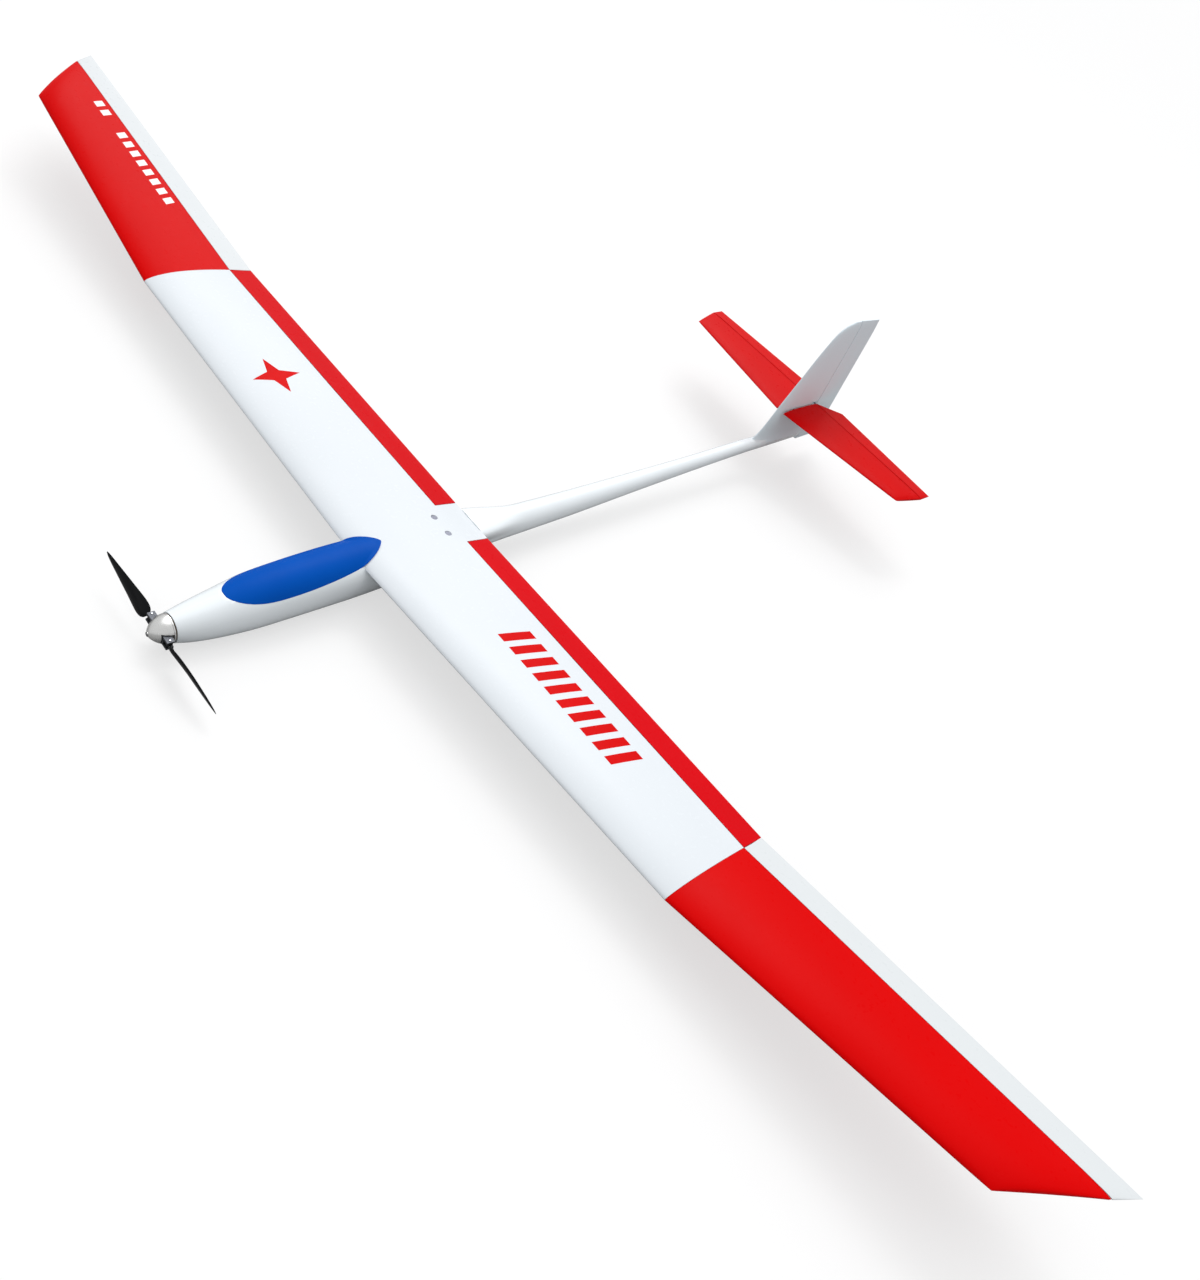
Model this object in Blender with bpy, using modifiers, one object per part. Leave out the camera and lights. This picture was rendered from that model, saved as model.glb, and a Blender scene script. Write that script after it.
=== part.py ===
"""Electric motor glider model, two metres in span, as separate pieces with real joints.

Everything is modelled in the datum frame of the wing: its origin is the leading edge at the root,
the nose points to -Y, the left wing to +X and +Z is up. The empty "datum" carries the airframe
and stands so that world z = 0 is the flat of the belly, half way along the model.
"""
import bpy
import bmesh
from math import acos, asin, atan2, cos, pi, radians, sin, sqrt, tan
from mathutils import Matrix, Vector

# ---------------------------------------------------------------- driving dimensions, metres
GAP = 0.0003                      # play left between pieces that touch
MIDDLE_Y = 0.3388                 # half way between spinner and rudder, aft of the root leading edge
BELLY_Z = -0.0563                 # flat of the belly, below the root chord line
BELLY_SNAP = 0.0004               # hull points this little above the flat are brought down to it

# wing
ROOT_LE = Vector((0.0, 0.0, 0.0))
ROOT_HINGE_Y = 0.1416
ROOT_TE = Vector((0.0, 0.1755, 0.0))
BREAK_LE = Vector((0.5232, 0.0228, 0.0024))
BREAK_HINGE_Y = 0.1455
BREAK_TE = Vector((0.5232, 0.1790, 0.0024))
TIP_LE = Vector((0.9029, 0.0584, 0.0447))
TIP_HINGE = Vector((0.9790, 0.1490, 0.0538))
TIP_TE = Vector((1.0000, 0.1810, 0.0548))
WING_THICKNESS = 0.092            # of the chord
WING_CAMBER = 0.022               # of the chord, highest at CAMBER_AT
CAMBER_AT = 0.4
TE_THICKNESS = 0.0012
HINGE_FRACTION = 0.7855           # of the chord, where the control surfaces begin
FLAP_ROOT_X = 0.0331
DIHEDRAL = radians(6.3)           # of the outer panels
FLAP_BEVEL = (0.0025, 0.0042)     # slope of the wing's rear face and of the flap's front face
AILERON_BEVEL = (0.0018, 0.0022)
SCREW_X, SCREW_Y = 0.0145, 0.1262
SPAR_Y, SPAR_WIDTH, SPAR_HEIGHT = 0.060, 0.0040, 0.0070
JOINER_LENGTH = 0.050             # of each half of a joiner

# fuselage: distance aft of the root leading edge, half width, top, middle and bottom
STATIONS = (
    (-0.2190, 0.0170, -0.0142, -0.0312, -0.0478),
    (-0.2000, 0.0213, -0.0103, -0.0312, -0.0524),
    (-0.1700, 0.0262, -0.0044, -0.0302, -0.0557),
    (-0.1300, 0.0308, 0.0038, -0.0266, -0.0573),
    (-0.0850, 0.0322, 0.0082, -0.0241, -0.0573),
    (-0.0400, 0.0327, 0.0103, -0.0224, -0.0573),
    (0.0000, 0.0324, 0.0109, -0.0214, -0.0573),
    (0.0400, 0.0308, 0.0105, -0.0202, -0.0573),
    (0.0800, 0.0285, 0.0080, -0.0200, -0.0573),
    (0.1200, 0.0262, 0.0056, -0.0202, -0.0570),
    (0.1500, 0.0240, 0.0034, -0.0206, -0.0525),
    (0.1755, 0.0223, 0.0014, -0.0210, -0.0464),
    (0.2000, 0.0208, -0.0004, -0.0214, -0.0424),
    (0.2300, 0.0196, -0.0018, -0.0214, -0.0410),
    (0.2700, 0.0186, -0.0026, -0.0213, -0.0400),
    (0.3500, 0.0168, -0.0038, -0.0206, -0.0374),
    (0.4700, 0.0138, -0.0033, -0.0171, -0.0309),
    (0.6000, 0.0112, -0.0020, -0.0132, -0.0244),
    (0.7200, 0.0099, 0.0009, -0.0090, -0.0195),
    (0.7700, 0.0086, 0.0010, -0.0090, -0.0202),
    (0.8200, 0.0066, 0.0008, -0.0092, -0.0212),
    (0.8625, 0.0048, 0.0005, -0.0095, -0.0215),
)
SKIN = 0.0018                     # of the moulded shells
FAIRING_FROM, FAIRING_PEAK, FAIRING_TO = 0.110, 0.1755, 0.262
FAIRING_REACH = 0.0085            # how far the wing root fairing stands out
ROUND_STEPS = 12                  # round each half of the fuselage
CANOPY_FRONT_Y, CANOPY_LOW_Y, CANOPY_REAR_Y = -0.1615, -0.1130, 0.0365
CANOPY_FRONT_Z, CANOPY_LOW_Z, CANOPY_WING_Z = -0.0032, -0.0080, 0.0018
CANOPY_SKIN = 0.0012
CANOPY_STEPS = 6                  # to each side of the crown
TONGUE_REACH = 0.0222             # half width of the canopy's tongue where it runs onto the wing

# motor and propeller
SHAFT_Z = -0.0311
SHAFT_R = 0.0019
SPINNER_BASE_Y, SPINNER_R, SPINNER_LENGTH = -0.2206, 0.0163, 0.0237
BLADE_Y = -0.2295
PROP_TILT = radians(3.6)          # how far the blades stand off level at rest
PIN_X, PIN_R, PIN_HALF = 0.0190, 0.0011, 0.0062
YOKE_REACH, FORK_FROM = 0.0216, 0.0142   # ends of the yoke, and where the slots for the blades begin
EYE, EYE_R = 0.0028, 0.0036       # half thickness and radius of a blade's eye
BLADE_FROM = 0.0208               # radius where a blade leaves its eye
PROP_R = 0.1143
PROP_PITCH = 0.102

# tail
STAB_Z = 0.048
STAB_ROOT_LE = (0.0075, 0.7710)
STAB_TIP_LE = (0.2215, 0.8050)
STAB_TIP_HINGE_X = 0.2345
ELEVATOR_HINGE_Y = 0.8545
ELEVATOR_TIP_TE = (0.2353, 0.8775)
ELEVATOR_KINK = (0.0397, 0.8890)
STAB_THICKNESS = 0.0075
RUDDER_HINGE_Y = 0.8630
RUDDER_BOTTOM_Z, RUDDER_TOP_Z = -0.0255, 0.1945
RUDDER_LOW_TE, RUDDER_TOP_TE = 0.9222, 0.9134
RUDDER_KINK = (0.9165, 0.170)     # where its trailing edge starts to curve forward: y, z
RUDDER_TOP_RISE = 0.0045          # how much higher its top is at the hinge than at the trailing edge
RUDDER_RISE_FROM = 0.10           # height where that rise begins
FIN_THICKNESS = 0.0094
HINGE_PLAY = 0.0006               # between a tail surface and the fixed part in front of it
NOSE_SLOPE = 0.52                 # of a tail surface's V-shaped front, per half thickness
MOVING_HALF = 0.41                # half thickness of a tail surface at its hinge, of the fixed part's whole

# control linkages
FLAP_ARM, AILERON_ARM = 0.0155, 0.0130
FLAP_SERVO_X, AILERON_SERVO_X = 0.240, 0.690
ELEVATOR_ARM = 0.0140
SERVO_ARM = 0.0110
SERVO_X, SERVO_Y, SERVO_TOP_Z = 0.0088, 0.0740, -0.0225


# ---------------------------------------------------------------- scene and materials
def clear_scene():
    for obj in list(bpy.data.objects):
        bpy.data.objects.remove(obj, do_unlink=True)


clear_scene()
parts = bpy.data.collections.new("motor_glider")
cutters = bpy.data.collections.new("cutters")
cutters.hide_render = True
bpy.context.scene.collection.children.link(parts)
bpy.context.scene.collection.children.link(cutters)

datum = bpy.data.objects.new("datum", None)
datum.location = (0.0, -MIDDLE_Y, -BELLY_Z)
parts.objects.link(datum)


def finish(name, colour, roughness, metallic=0.0):
    made = bpy.data.materials.new(name)
    made.use_nodes = True
    shader = made.node_tree.nodes["Principled BSDF"]
    shader.inputs["Base Color"].default_value = (*colour, 1.0)
    shader.inputs["Roughness"].default_value = roughness
    shader.inputs["Metallic"].default_value = metallic
    made.diffuse_color = (*colour, 1.0)
    return made


WHITE = finish("white_gloss", (0.86, 0.88, 0.90), 0.22)
RED = finish("red_film", (0.72, 0.005, 0.01), 0.25)
BLUE = finish("blue_gloss", (0.005, 0.10, 0.48), 0.22)
SILVER = finish("turned_aluminium", (0.78, 0.79, 0.80), 0.30, 1.0)
STEEL = finish("steel", (0.55, 0.56, 0.58), 0.35, 1.0)
BLACK = finish("black_plastic", (0.02, 0.02, 0.022), 0.30)
CARBON = finish("carbon", (0.03, 0.03, 0.035), 0.35)
PLY = finish("plywood", (0.62, 0.45, 0.26), 0.60)
WRAP = finish("battery_wrap", (0.05, 0.09, 0.25), 0.40)
COPPER = finish("motor_black", (0.06, 0.06, 0.07), 0.35, 0.8)


# ---------------------------------------------------------------- helpers
def place(mesh, name, material=None, pivot=(0.0, 0.0, 0.0), matrix=None):
    """A part, or a cutter where no material is given, with its origin at the pivot."""
    if matrix is not None:
        mesh.transform(matrix)
    mesh.transform(Matrix.Translation(-Vector(pivot)))
    obj = bpy.data.objects.new(name, mesh)
    obj.location = pivot
    obj.parent = datum
    if material is None:
        cutters.objects.link(obj)
        obj.hide_render = True
        obj.display_type = "WIRE"
    else:
        parts.objects.link(obj)
        mesh.materials.append(material)
    return obj


def mesh_from(bm, name, smooth_angle=None):
    bmesh.ops.recalc_face_normals(bm, faces=bm.faces)
    if bm.calc_volume(signed=True) < 0.0:
        bmesh.ops.reverse_faces(bm, faces=bm.faces)
    mesh = bpy.data.meshes.new(name)
    bm.to_mesh(mesh)
    bm.free()
    if smooth_angle is not None:
        mesh.shade_smooth()
        mesh.set_sharp_from_angle(angle=radians(smooth_angle))
    return mesh


def loft_mesh(name, rings, capped=True, closed=True, smooth_angle=35.0):
    """Quads between rings of equal count; the ends are capped with one face each."""
    bm = bmesh.new()
    rows = [[bm.verts.new(point) for point in ring] for ring in rings]
    count = len(rows[0])
    last = count if closed else count - 1
    for low, high in zip(rows, rows[1:]):
        for i in range(last):
            j = (i + 1) % count
            bm.faces.new((low[i], low[j], high[j], high[i]))
    if capped:
        bm.faces.new(rows[0])
        bm.faces.new(rows[-1])
    return mesh_from(bm, name, smooth_angle)


def prism_mesh(name, outline, low, high, axis="X"):
    """The outline (first and second of the other two axes) drawn out along the axis."""
    def point(level, pair):
        a, b = pair
        return {"X": (level, a, b), "Y": (a, level, b), "Z": (a, b, level)}[axis]
    rings = [[point(level, pair) for pair in outline] for level in (low, high)]
    return loft_mesh(name, rings, smooth_angle=None)


def box_mesh(name, low, high):
    bm = bmesh.new()
    bmesh.ops.create_cube(bm, size=1.0)
    size = [b - a for a, b in zip(low, high)]
    middle = [(a + b) / 2 for a, b in zip(low, high)]
    bmesh.ops.scale(bm, vec=size, verts=bm.verts)
    bmesh.ops.translate(bm, vec=middle, verts=bm.verts)
    return mesh_from(bm, name)


def box(name, low, high, material=None, bevel=0.0):
    obj = place(box_mesh(name, low, high), name, material)
    if bevel:
        rounded = obj.modifiers.new("rounded", "BEVEL")
        rounded.width = bevel
        rounded.segments = 2
        rounded.limit_method = "ANGLE"
    return obj


def rod_mesh(name, start, end, radius, segments=16):
    start, end = Vector(start), Vector(end)
    bm = bmesh.new()
    bmesh.ops.create_cone(bm, cap_ends=True, segments=segments, radius1=radius, radius2=radius,
                          depth=(end - start).length)
    turn = (end - start).to_track_quat("Z", "Y").to_matrix().to_4x4()
    bm.transform(Matrix.Translation((start + end) / 2) @ turn)
    return mesh_from(bm, name, 40.0)


def rod(name, start, end, radius, material=None, segments=16):
    return place(rod_mesh(name, start, end, radius, segments), name, material)


def turned(name, profile, centre, axis, material=None, steps=24):
    """A closed profile of (radius, height), outer side running down, turned about the axis."""
    bm = bmesh.new()
    verts = [bm.verts.new((radius, 0.0, height)) for radius, height in profile]
    on_axis = profile[0][0] == 0.0 and profile[-1][0] == 0.0
    for a, b in zip(verts, verts[1:]):
        bm.edges.new((a, b))
    if not on_axis:
        bm.edges.new((verts[-1], verts[0]))
    mesh = bpy.data.meshes.new(name)
    bm.to_mesh(mesh)
    bm.free()
    obj = place(mesh, name, material)
    obj.location = centre
    obj.rotation_euler = Vector(axis).to_track_quat("Z", "Y").to_euler()
    screw = obj.modifiers.new("turned", "SCREW")
    screw.steps = screw.render_steps = steps
    screw.use_merge_vertices = True
    screw.merge_threshold = 0.00001
    screw.use_smooth_shade = False
    return obj


def wire(name, points, radius, material):
    """A bent rod along the points."""
    curve = bpy.data.curves.new(name, "CURVE")
    curve.dimensions = "3D"
    curve.bevel_depth = radius
    curve.bevel_resolution = 1
    curve.use_fill_caps = True
    spline = curve.splines.new("POLY")
    spline.points.add(len(points) - 1)
    for slot, point in zip(spline.points, points):
        slot.co = (*point, 1.0)
    obj = bpy.data.objects.new(name, curve)
    obj.parent = datum
    parts.objects.link(obj)
    curve.materials.append(material)
    return obj


def boolean(obj, tool, operation="DIFFERENCE"):
    step = obj.modifiers.new(tool.name, "BOOLEAN")
    step.object = tool
    step.operation = operation
    step.solver = "EXACT"


def mix(a, b, t):
    return a + (b - a) * t


# ---------------------------------------------------------------- fuselage
def station_at(y):
    """Half width, top, middle and bottom of the fuselage, smoothly between its stations."""
    rows = STATIONS
    i = 0
    while i < len(rows) - 2 and y > rows[i + 1][0]:
        i += 1
    before, a, b, after = rows[max(i - 1, 0)], rows[i], rows[i + 1], rows[min(i + 2, len(rows) - 1)]
    span = b[0] - a[0]
    t = min(max((y - a[0]) / span, 0.0), 1.0)
    values = []
    for k in range(1, 5):
        slope_a = (b[k] - before[k]) / (b[0] - before[0]) * span
        slope_b = (after[k] - a[k]) / (after[0] - a[0]) * span
        values.append((2 * t**3 - 3 * t**2 + 1) * a[k] + (t**3 - 2 * t**2 + t) * slope_a
                      + (3 * t**2 - 2 * t**3) * b[k] + (t**3 - t**2) * slope_b)
    return values


def fairing_at(y):
    """Share of the wing root fairing at this station, 0 to 1."""
    if y <= FAIRING_FROM or y >= FAIRING_TO:
        return 0.0
    if y < FAIRING_PEAK:
        t = (y - FAIRING_FROM) / (FAIRING_PEAK - FAIRING_FROM)
    else:
        t = (FAIRING_TO - y) / (FAIRING_TO - FAIRING_PEAK)
    return t * t * (3 - 2 * t)


def hull_point(y, angle, grow=0.0):
    """A point of the hull; the angle runs from -90 degrees at the keel to 90 at the top."""
    half, top, middle, bottom = station_at(y)
    rise = (top - middle) if angle > 0 else (middle - bottom)
    x = (half + grow) * cos(angle)
    z = middle + (rise + grow) * sin(angle)
    share = fairing_at(y) * max(0.0, sin(2 * angle)) ** 1.5 if angle > 0 else 0.0
    x += FAIRING_REACH * share
    z += 0.0035 * share
    if z < BELLY_Z + BELLY_SNAP - grow:
        z = BELLY_Z - grow
    return Vector((x, y, z))


def hull_stations():
    ys = [row[0] for row in STATIONS]
    extra = [-0.2110, -0.186, -0.150, -0.108, -0.0625, -0.02, 0.02, 0.06, 0.10, 0.135, 0.188, 0.215,
             0.25, 0.31, 0.41, 0.53, 0.66, 0.745]
    return sorted(ys + extra)


def hull_angles():
    return [-pi / 2 + pi * i / ROUND_STEPS for i in range(ROUND_STEPS + 1)]


def half_shell(name, side):
    rings = []
    for y in hull_stations():
        ring = [hull_point(y, angle) for angle in hull_angles()]
        ring[0].x = ring[-1].x = -0.0008
        rings.append([(side * p.x, p.y, p.z) for p in ring])
    mesh = loft_mesh(name, rings, capped=False, closed=False)
    if mesh.polygons[40].normal.x * side < 0:
        mesh.flip_normals()
    obj = place(mesh, name, WHITE)
    skin = obj.modifiers.new("skin", "SOLIDIFY")
    skin.thickness = SKIN
    skin.offset = -1.0
    obj.modifiers.new("flat_faces", "TRIANGULATE")
    sides = sorted((-side * 0.02, side * GAP / 2))
    boolean(obj, box(f"seam_{name}", (sides[0], -0.25, -0.1), (sides[1], 0.9, 0.1)))
    return obj


def full_hull_mesh(name, ys, grow):
    rings = []
    for y in ys:
        right = [hull_point(y, angle, grow) for angle in hull_angles()]
        ring = [(p.x, p.y, p.z) for p in right[1:-1]]
        keel, crown = right[0], right[-1]
        rings.append([(0.0, keel.y, keel.z)] + ring + [(0.0, crown.y, crown.z)]
                     + [(-x, py, z) for x, py, z in reversed(ring)])
    return loft_mesh(name, rings)


def canopy_split_z(y):
    """Height of the canopy's lower edge, which sags between its front end and the wing."""
    if y < CANOPY_LOW_Y:
        share = ((CANOPY_LOW_Y - y) / (CANOPY_LOW_Y - CANOPY_FRONT_Y))**2
        return mix(CANOPY_LOW_Z, CANOPY_FRONT_Z, share)
    share = (max(0.0, min(1.0, 1 - y / CANOPY_LOW_Y)))**1.6
    return mix(CANOPY_LOW_Z, CANOPY_WING_Z, share)


fuselage_left = half_shell("fuselage_left_shell", 1)
fuselage_right = half_shell("fuselage_right_shell", -1)


# ---------------------------------------------------------------- wing section
def airfoil(u):
    """Upper and lower height at chord fraction u, both as fractions of the chord."""
    half = 5 * WING_THICKNESS * (0.2969 * sqrt(u) - 0.1260 * u - 0.3516 * u**2 + 0.2843 * u**3
                                 - 0.1036 * u**4)
    if u < CAMBER_AT:
        line = WING_CAMBER / CAMBER_AT**2 * (2 * CAMBER_AT * u - u * u)
    else:
        line = WING_CAMBER / (1 - CAMBER_AT)**2 * (1 - 2 * CAMBER_AT + 2 * CAMBER_AT * u - u * u)
    return line + half, line - half


UPPER_U = [0.0, 0.008, 0.03, 0.07, 0.13, 0.21, 0.31, 0.43, 0.56, 0.68]
NOSE_U = [u for u in UPPER_U if u < HINGE_FRACTION]


def section_point(le, hinge, te, u, upper, scale=1.0, extra=0.0):
    """A point of the wing section that runs from le by the hinge point to te."""
    chord = (hinge - le).length + (te - hinge).length
    if u <= HINGE_FRACTION:
        base = le.lerp(hinge, u / HINGE_FRACTION)
    else:
        base = hinge.lerp(te, (u - HINGE_FRACTION) / (1 - HINGE_FRACTION))
    high, low = airfoil(u)
    middle, half = (high + low) / 2 * chord, (high - low) / 2 * chord * scale
    half = max(half, TE_THICKNESS / 2 * scale) + extra
    return base + Vector((0.0, 0.0, middle + (half if upper else -half)))


def nose_ring(le, hinge, te, bevel, scale=1.0, extra=0.0):
    """The fixed part of the section, back to the sloping face in front of a control surface."""
    chord = (te - le).length
    rear_top = HINGE_FRACTION - GAP / 2 / chord
    rear_low = HINGE_FRACTION - bevel / chord
    us = NOSE_U[1:]
    upper = [section_point(le, hinge, te, u, True, scale, extra) for u in us + [rear_top]]
    lower = [section_point(le, hinge, te, u, False, scale, extra) for u in us + [rear_low]]
    nose = section_point(le, hinge, te, 0.0, True, scale) - Vector((0.0, extra, 0.0))
    return list(reversed(upper)) + [nose] + lower


def tail_ring(le, hinge, te, bevel, scale=1.0):
    """The moving part of the section, from its sloping front face to the trailing edge."""
    chord = (te - le).length
    slack = 0.0012 * (1 - scale)
    front_top = HINGE_FRACTION + (GAP / 2 + slack) / chord
    front_low = HINGE_FRACTION + bevel / chord
    mids = [0.86, 0.93]
    upper = [section_point(le, hinge, te, u, True, scale) for u in [front_top] + mids + [1.0]]
    lower = [section_point(le, hinge, te, u, False, scale) for u in [front_low] + mids + [1.0]]
    return upper + list(reversed(lower))


def full_ring(le, hinge, te, extra=0.0):
    us = NOSE_U[1:] + [HINGE_FRACTION, 0.86, 0.93, 1.0]
    upper = [section_point(le, hinge, te, u, True, 1.0, extra) for u in us]
    lower = [section_point(le, hinge, te, u, False, 1.0, extra) for u in us]
    back = Vector((0.0, extra, 0.0))
    upper[-1] = upper[-1] + back
    lower[-1] = lower[-1] + back
    nose = section_point(le, hinge, te, 0.0, True) - back
    return list(reversed(upper)) + [nose] + lower


def center_lines(x):
    """Leading edge, hinge and trailing edge points of the middle panel at x."""
    t = abs(x) / BREAK_LE.x
    le = Vector((x, mix(ROOT_LE.y, BREAK_LE.y, t), mix(ROOT_LE.z, BREAK_LE.z, t)))
    te = Vector((x, mix(ROOT_TE.y, BREAK_TE.y, t), mix(ROOT_TE.z, BREAK_TE.z, t)))
    hinge_y = mix(ROOT_HINGE_Y, BREAK_HINGE_Y, t)
    hinge = Vector((x, hinge_y, mix(le.z, te.z, HINGE_FRACTION)))
    return le, hinge, te


BREAK_HINGE = center_lines(BREAK_LE.x)[1]


def tip_lines(s, side):
    """The same three points of an outer panel, s from 0 at the break to 1 at the tip."""
    le = BREAK_LE.lerp(TIP_LE, s)
    hinge = BREAK_HINGE.lerp(TIP_HINGE, s)
    te = BREAK_TE.lerp(TIP_TE, s)
    return tuple(Vector((side * p.x, p.y, p.z)) for p in (le, hinge, te))


TIP_STEPS = ((0.0, 1.0), (0.25, 1.0), (0.5, 1.0), (0.75, 1.0), (0.93, 0.98), (0.97, 0.85),
             (0.99, 0.60), (1.0, 0.25))
ROOT_INSET = GAP / 2 / (TIP_LE.x - BREAK_LE.x)


def hinge_ends(side):
    """World-free hinge points of flap and aileron on one side: root, break and tip."""
    root = section_point(*center_lines(side * FLAP_ROOT_X), HINGE_FRACTION, True)
    mid = section_point(*center_lines(side * BREAK_LE.x), HINGE_FRACTION, True)
    tip = section_point(*tip_lines(0.97, side), HINGE_FRACTION, True, 0.85)
    return root, mid, tip


# middle panel
wing_center = place(
    loft_mesh("wing_center_panel", [full_ring(*center_lines(x)) for x in
              (-BREAK_LE.x + GAP / 2, -0.26, -FLAP_ROOT_X, 0.0, FLAP_ROOT_X, 0.26,
               BREAK_LE.x - GAP / 2)]),
    "wing_center_panel", WHITE)


def bay_ring(x):
    """Section of the space cut out for a flap."""
    le, hinge, te = center_lines(x)
    chord = (te - le).length
    top = section_point(le, hinge, te, HINGE_FRACTION - GAP / 2 / chord, True)
    low = section_point(le, hinge, te, HINGE_FRACTION - FLAP_BEVEL[0] / chord, False)
    slope = (top - low) / (top.z - low.z)
    reach = 0.03
    return [top + slope * reach, low - slope * reach, Vector((x, 0.25, -reach)), Vector((x, 0.25, reach))]


for side, word in ((1, "left"), (-1, "right")):
    bay = place(loft_mesh(f"flap_bay_{word}", [bay_ring(side * (FLAP_ROOT_X - GAP)),
                                               bay_ring(side * 0.56)], smooth_angle=None),
                f"flap_bay_{word}")
    boolean(wing_center, bay)

# fuselage saddle under the wing
saddle = place(loft_mesh("wing_saddle", [full_ring(*center_lines(x), GAP) for x in (-0.06, 0.0, 0.06)],
                         smooth_angle=None), "wing_saddle")
saddle_top = place(prism_mesh("saddle_top", [(0.0005, 0.002), (0.0005, 0.04), (ROOT_TE.y + GAP, 0.04),
                                             (ROOT_TE.y + GAP, 0.0)], -0.06, 0.06), "saddle_top")


# ---------------------------------------------------------------- outer panels
def spar_point(x):
    """Middle of the spar at x: straight in the middle panel and rising with the outer panel."""
    z = 0.0040 + min(abs(x), BREAK_LE.x) * 0.0032
    y = SPAR_Y
    if abs(x) > BREAK_LE.x:
        z += (abs(x) - BREAK_LE.x) * tan(DIHEDRAL)
        y += (abs(x) - BREAK_LE.x) * 0.04
    return Vector((x, y, z))


def bar_mesh(name, xs, grow=0.0):
    """A flat bar along the spar line through these stations."""
    wide, tall = SPAR_WIDTH / 2 + grow, SPAR_HEIGHT / 2 + grow
    rings = []
    for x in xs:
        c = spar_point(x)
        rings.append([c + Vector((0, a * wide, b * tall)) for a, b in ((-1, -1), (1, -1), (1, 1), (-1, 1))])
    return loft_mesh(name, rings, smooth_angle=None)


JOINT_X = BREAK_LE.x
spar_end = JOINT_X - JOINER_LENGTH - GAP / 2
place(bar_mesh("wing_spar", (-spar_end, 0.0, spar_end)), "wing_spar", CARBON)
channel_end = JOINT_X + 0.001
spar_channel = place(bar_mesh("spar_channel", (-channel_end, -JOINT_X, 0.0, JOINT_X, channel_end), GAP),
                     "spar_channel")
boolean(wing_center, spar_channel)

tips, flaps, ailerons = {}, {}, {}
for side, word in ((1, "left"), (-1, "right")):
    joiner = (side * (JOINT_X - JOINER_LENGTH + GAP / 2), side * JOINT_X, side * (JOINT_X + JOINER_LENGTH))
    place(bar_mesh(f"wing_joiner_{word}", joiner), f"wing_joiner_{word}", CARBON)
    socket = place(bar_mesh(f"joiner_socket_{word}",
                            (side * (JOINT_X - 0.01), side * JOINT_X, side * (JOINT_X + JOINER_LENGTH + GAP)),
                            GAP), f"joiner_socket_{word}")
    steps = [(max(s, ROOT_INSET), k) for s, k in TIP_STEPS]
    tips[word] = place(loft_mesh(f"wing_tip_{word}", [nose_ring(*tip_lines(s, side), AILERON_BEVEL[0], k)
                                                      for s, k in steps]), f"wing_tip_{word}", RED)
    boolean(tips[word], socket)
    pivot = hinge_ends(side)[1]
    aileron_steps = [(max(s, 3 * ROOT_INSET), k) for s, k in TIP_STEPS]
    ailerons[word] = place(loft_mesh(f"aileron_{word}", [tail_ring(*tip_lines(s, side), AILERON_BEVEL[1], k)
                                                         for s, k in aileron_steps]),
                           f"aileron_{word}", WHITE, pivot)
    flap_xs = (FLAP_ROOT_X + 2 * GAP, 0.20, 0.36, JOINT_X - GAP)
    flaps[word] = place(loft_mesh(f"flap_{word}", [tail_ring(*center_lines(side * x), FLAP_BEVEL[1])
                                                   for x in flap_xs]),
                        f"flap_{word}", RED, hinge_ends(side)[0])


# ---------------------------------------------------------------- wing servos and linkages
def local_frame(origin, side, dihedral):
    """A frame on the lower side of the wing: x along the span, z up through the wing."""
    return Matrix.Translation(origin) @ Matrix.Rotation(-side * dihedral, 4, "Y")


def linkage_frame(kind, side):
    """The frame at the hinge above a linkage, and the distance from servo to horn."""
    if kind == "flap":
        x = side * FLAP_SERVO_X
        point = section_point(*center_lines(x), HINGE_FRACTION, True)
        return local_frame(point, side, 0.0)
    s = (AILERON_SERVO_X - BREAK_LE.x) / (TIP_HINGE.x - BREAK_LE.x)
    point = section_point(*tip_lines(s, side), HINGE_FRACTION, True)
    return local_frame(point, side, DIHEDRAL)


SERVO_BACK = 0.052                # from hinge to servo output
SERVO_SIZE = (0.0112, 0.0230, 0.0088)


def arm_mesh(name, x0, x1, pivot, tip, width):
    """A flat lever between two (y, z) points, rounded off to six corners."""
    (py, pz), (ty, tz) = pivot, tip
    along = Vector((ty - py, tz - pz)).normalized()
    across = Vector((-along.y, along.x)) * width / 2
    a, b = Vector(pivot), Vector(tip)
    outline = [a + across, a - along * width * 0.4, a - across, b - across * 0.8, b + along * width * 0.4,
               b + across * 0.8]
    return prism_mesh(name, [tuple(p) for p in outline], x0, x1)


def linkage(kind, side, word, panel, surface, arm):
    frame = linkage_frame(kind, side)
    name = f"{kind}_{word}"
    body = SERVO_SIZE
    floor = -0.0102 if kind == "flap" else -0.0090
    low = (-body[0] - 0.001, -SERVO_BACK - body[1] / 2 - 0.004, floor)
    high = (-0.001, -SERVO_BACK + body[1] / 2 - 0.004, floor + body[2])
    place(box_mesh(f"{kind}_servo_{word}", low, high), f"{kind}_servo_{word}", BLACK, matrix=frame)
    pocket_low = (low[0] - GAP, low[1] - GAP, -0.05)
    pocket_high = (0.0046, high[1] + GAP, high[2] + GAP)
    pocket = place(box_mesh(f"{name}_pocket", pocket_low, pocket_high), f"{name}_pocket", matrix=frame)
    boolean(panel, pocket)
    output = (-SERVO_BACK, floor + body[2] / 2)
    place(arm_mesh(f"{kind}_arm_{word}", -0.0006, 0.0006, output, (output[0], output[1] - arm), 0.0042),
          f"{kind}_arm_{word}", WHITE, frame @ Vector((0.0, *output)), frame)
    horn = place(arm_mesh(f"{name}_horn", 0.0026, 0.0038, (0.0088, -0.0046), (0.0004, -arm), 0.0036),
                 f"{name}_horn", matrix=frame)
    boolean(surface, horn, "UNION")
    place(rod_mesh(f"{kind}_rod_{word}", (0.0016, output[0] - 0.0008, output[1] - arm),
                   (0.0016, 0.0008, -arm), 0.0006, 10), f"{kind}_rod_{word}", STEEL, matrix=frame)


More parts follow.
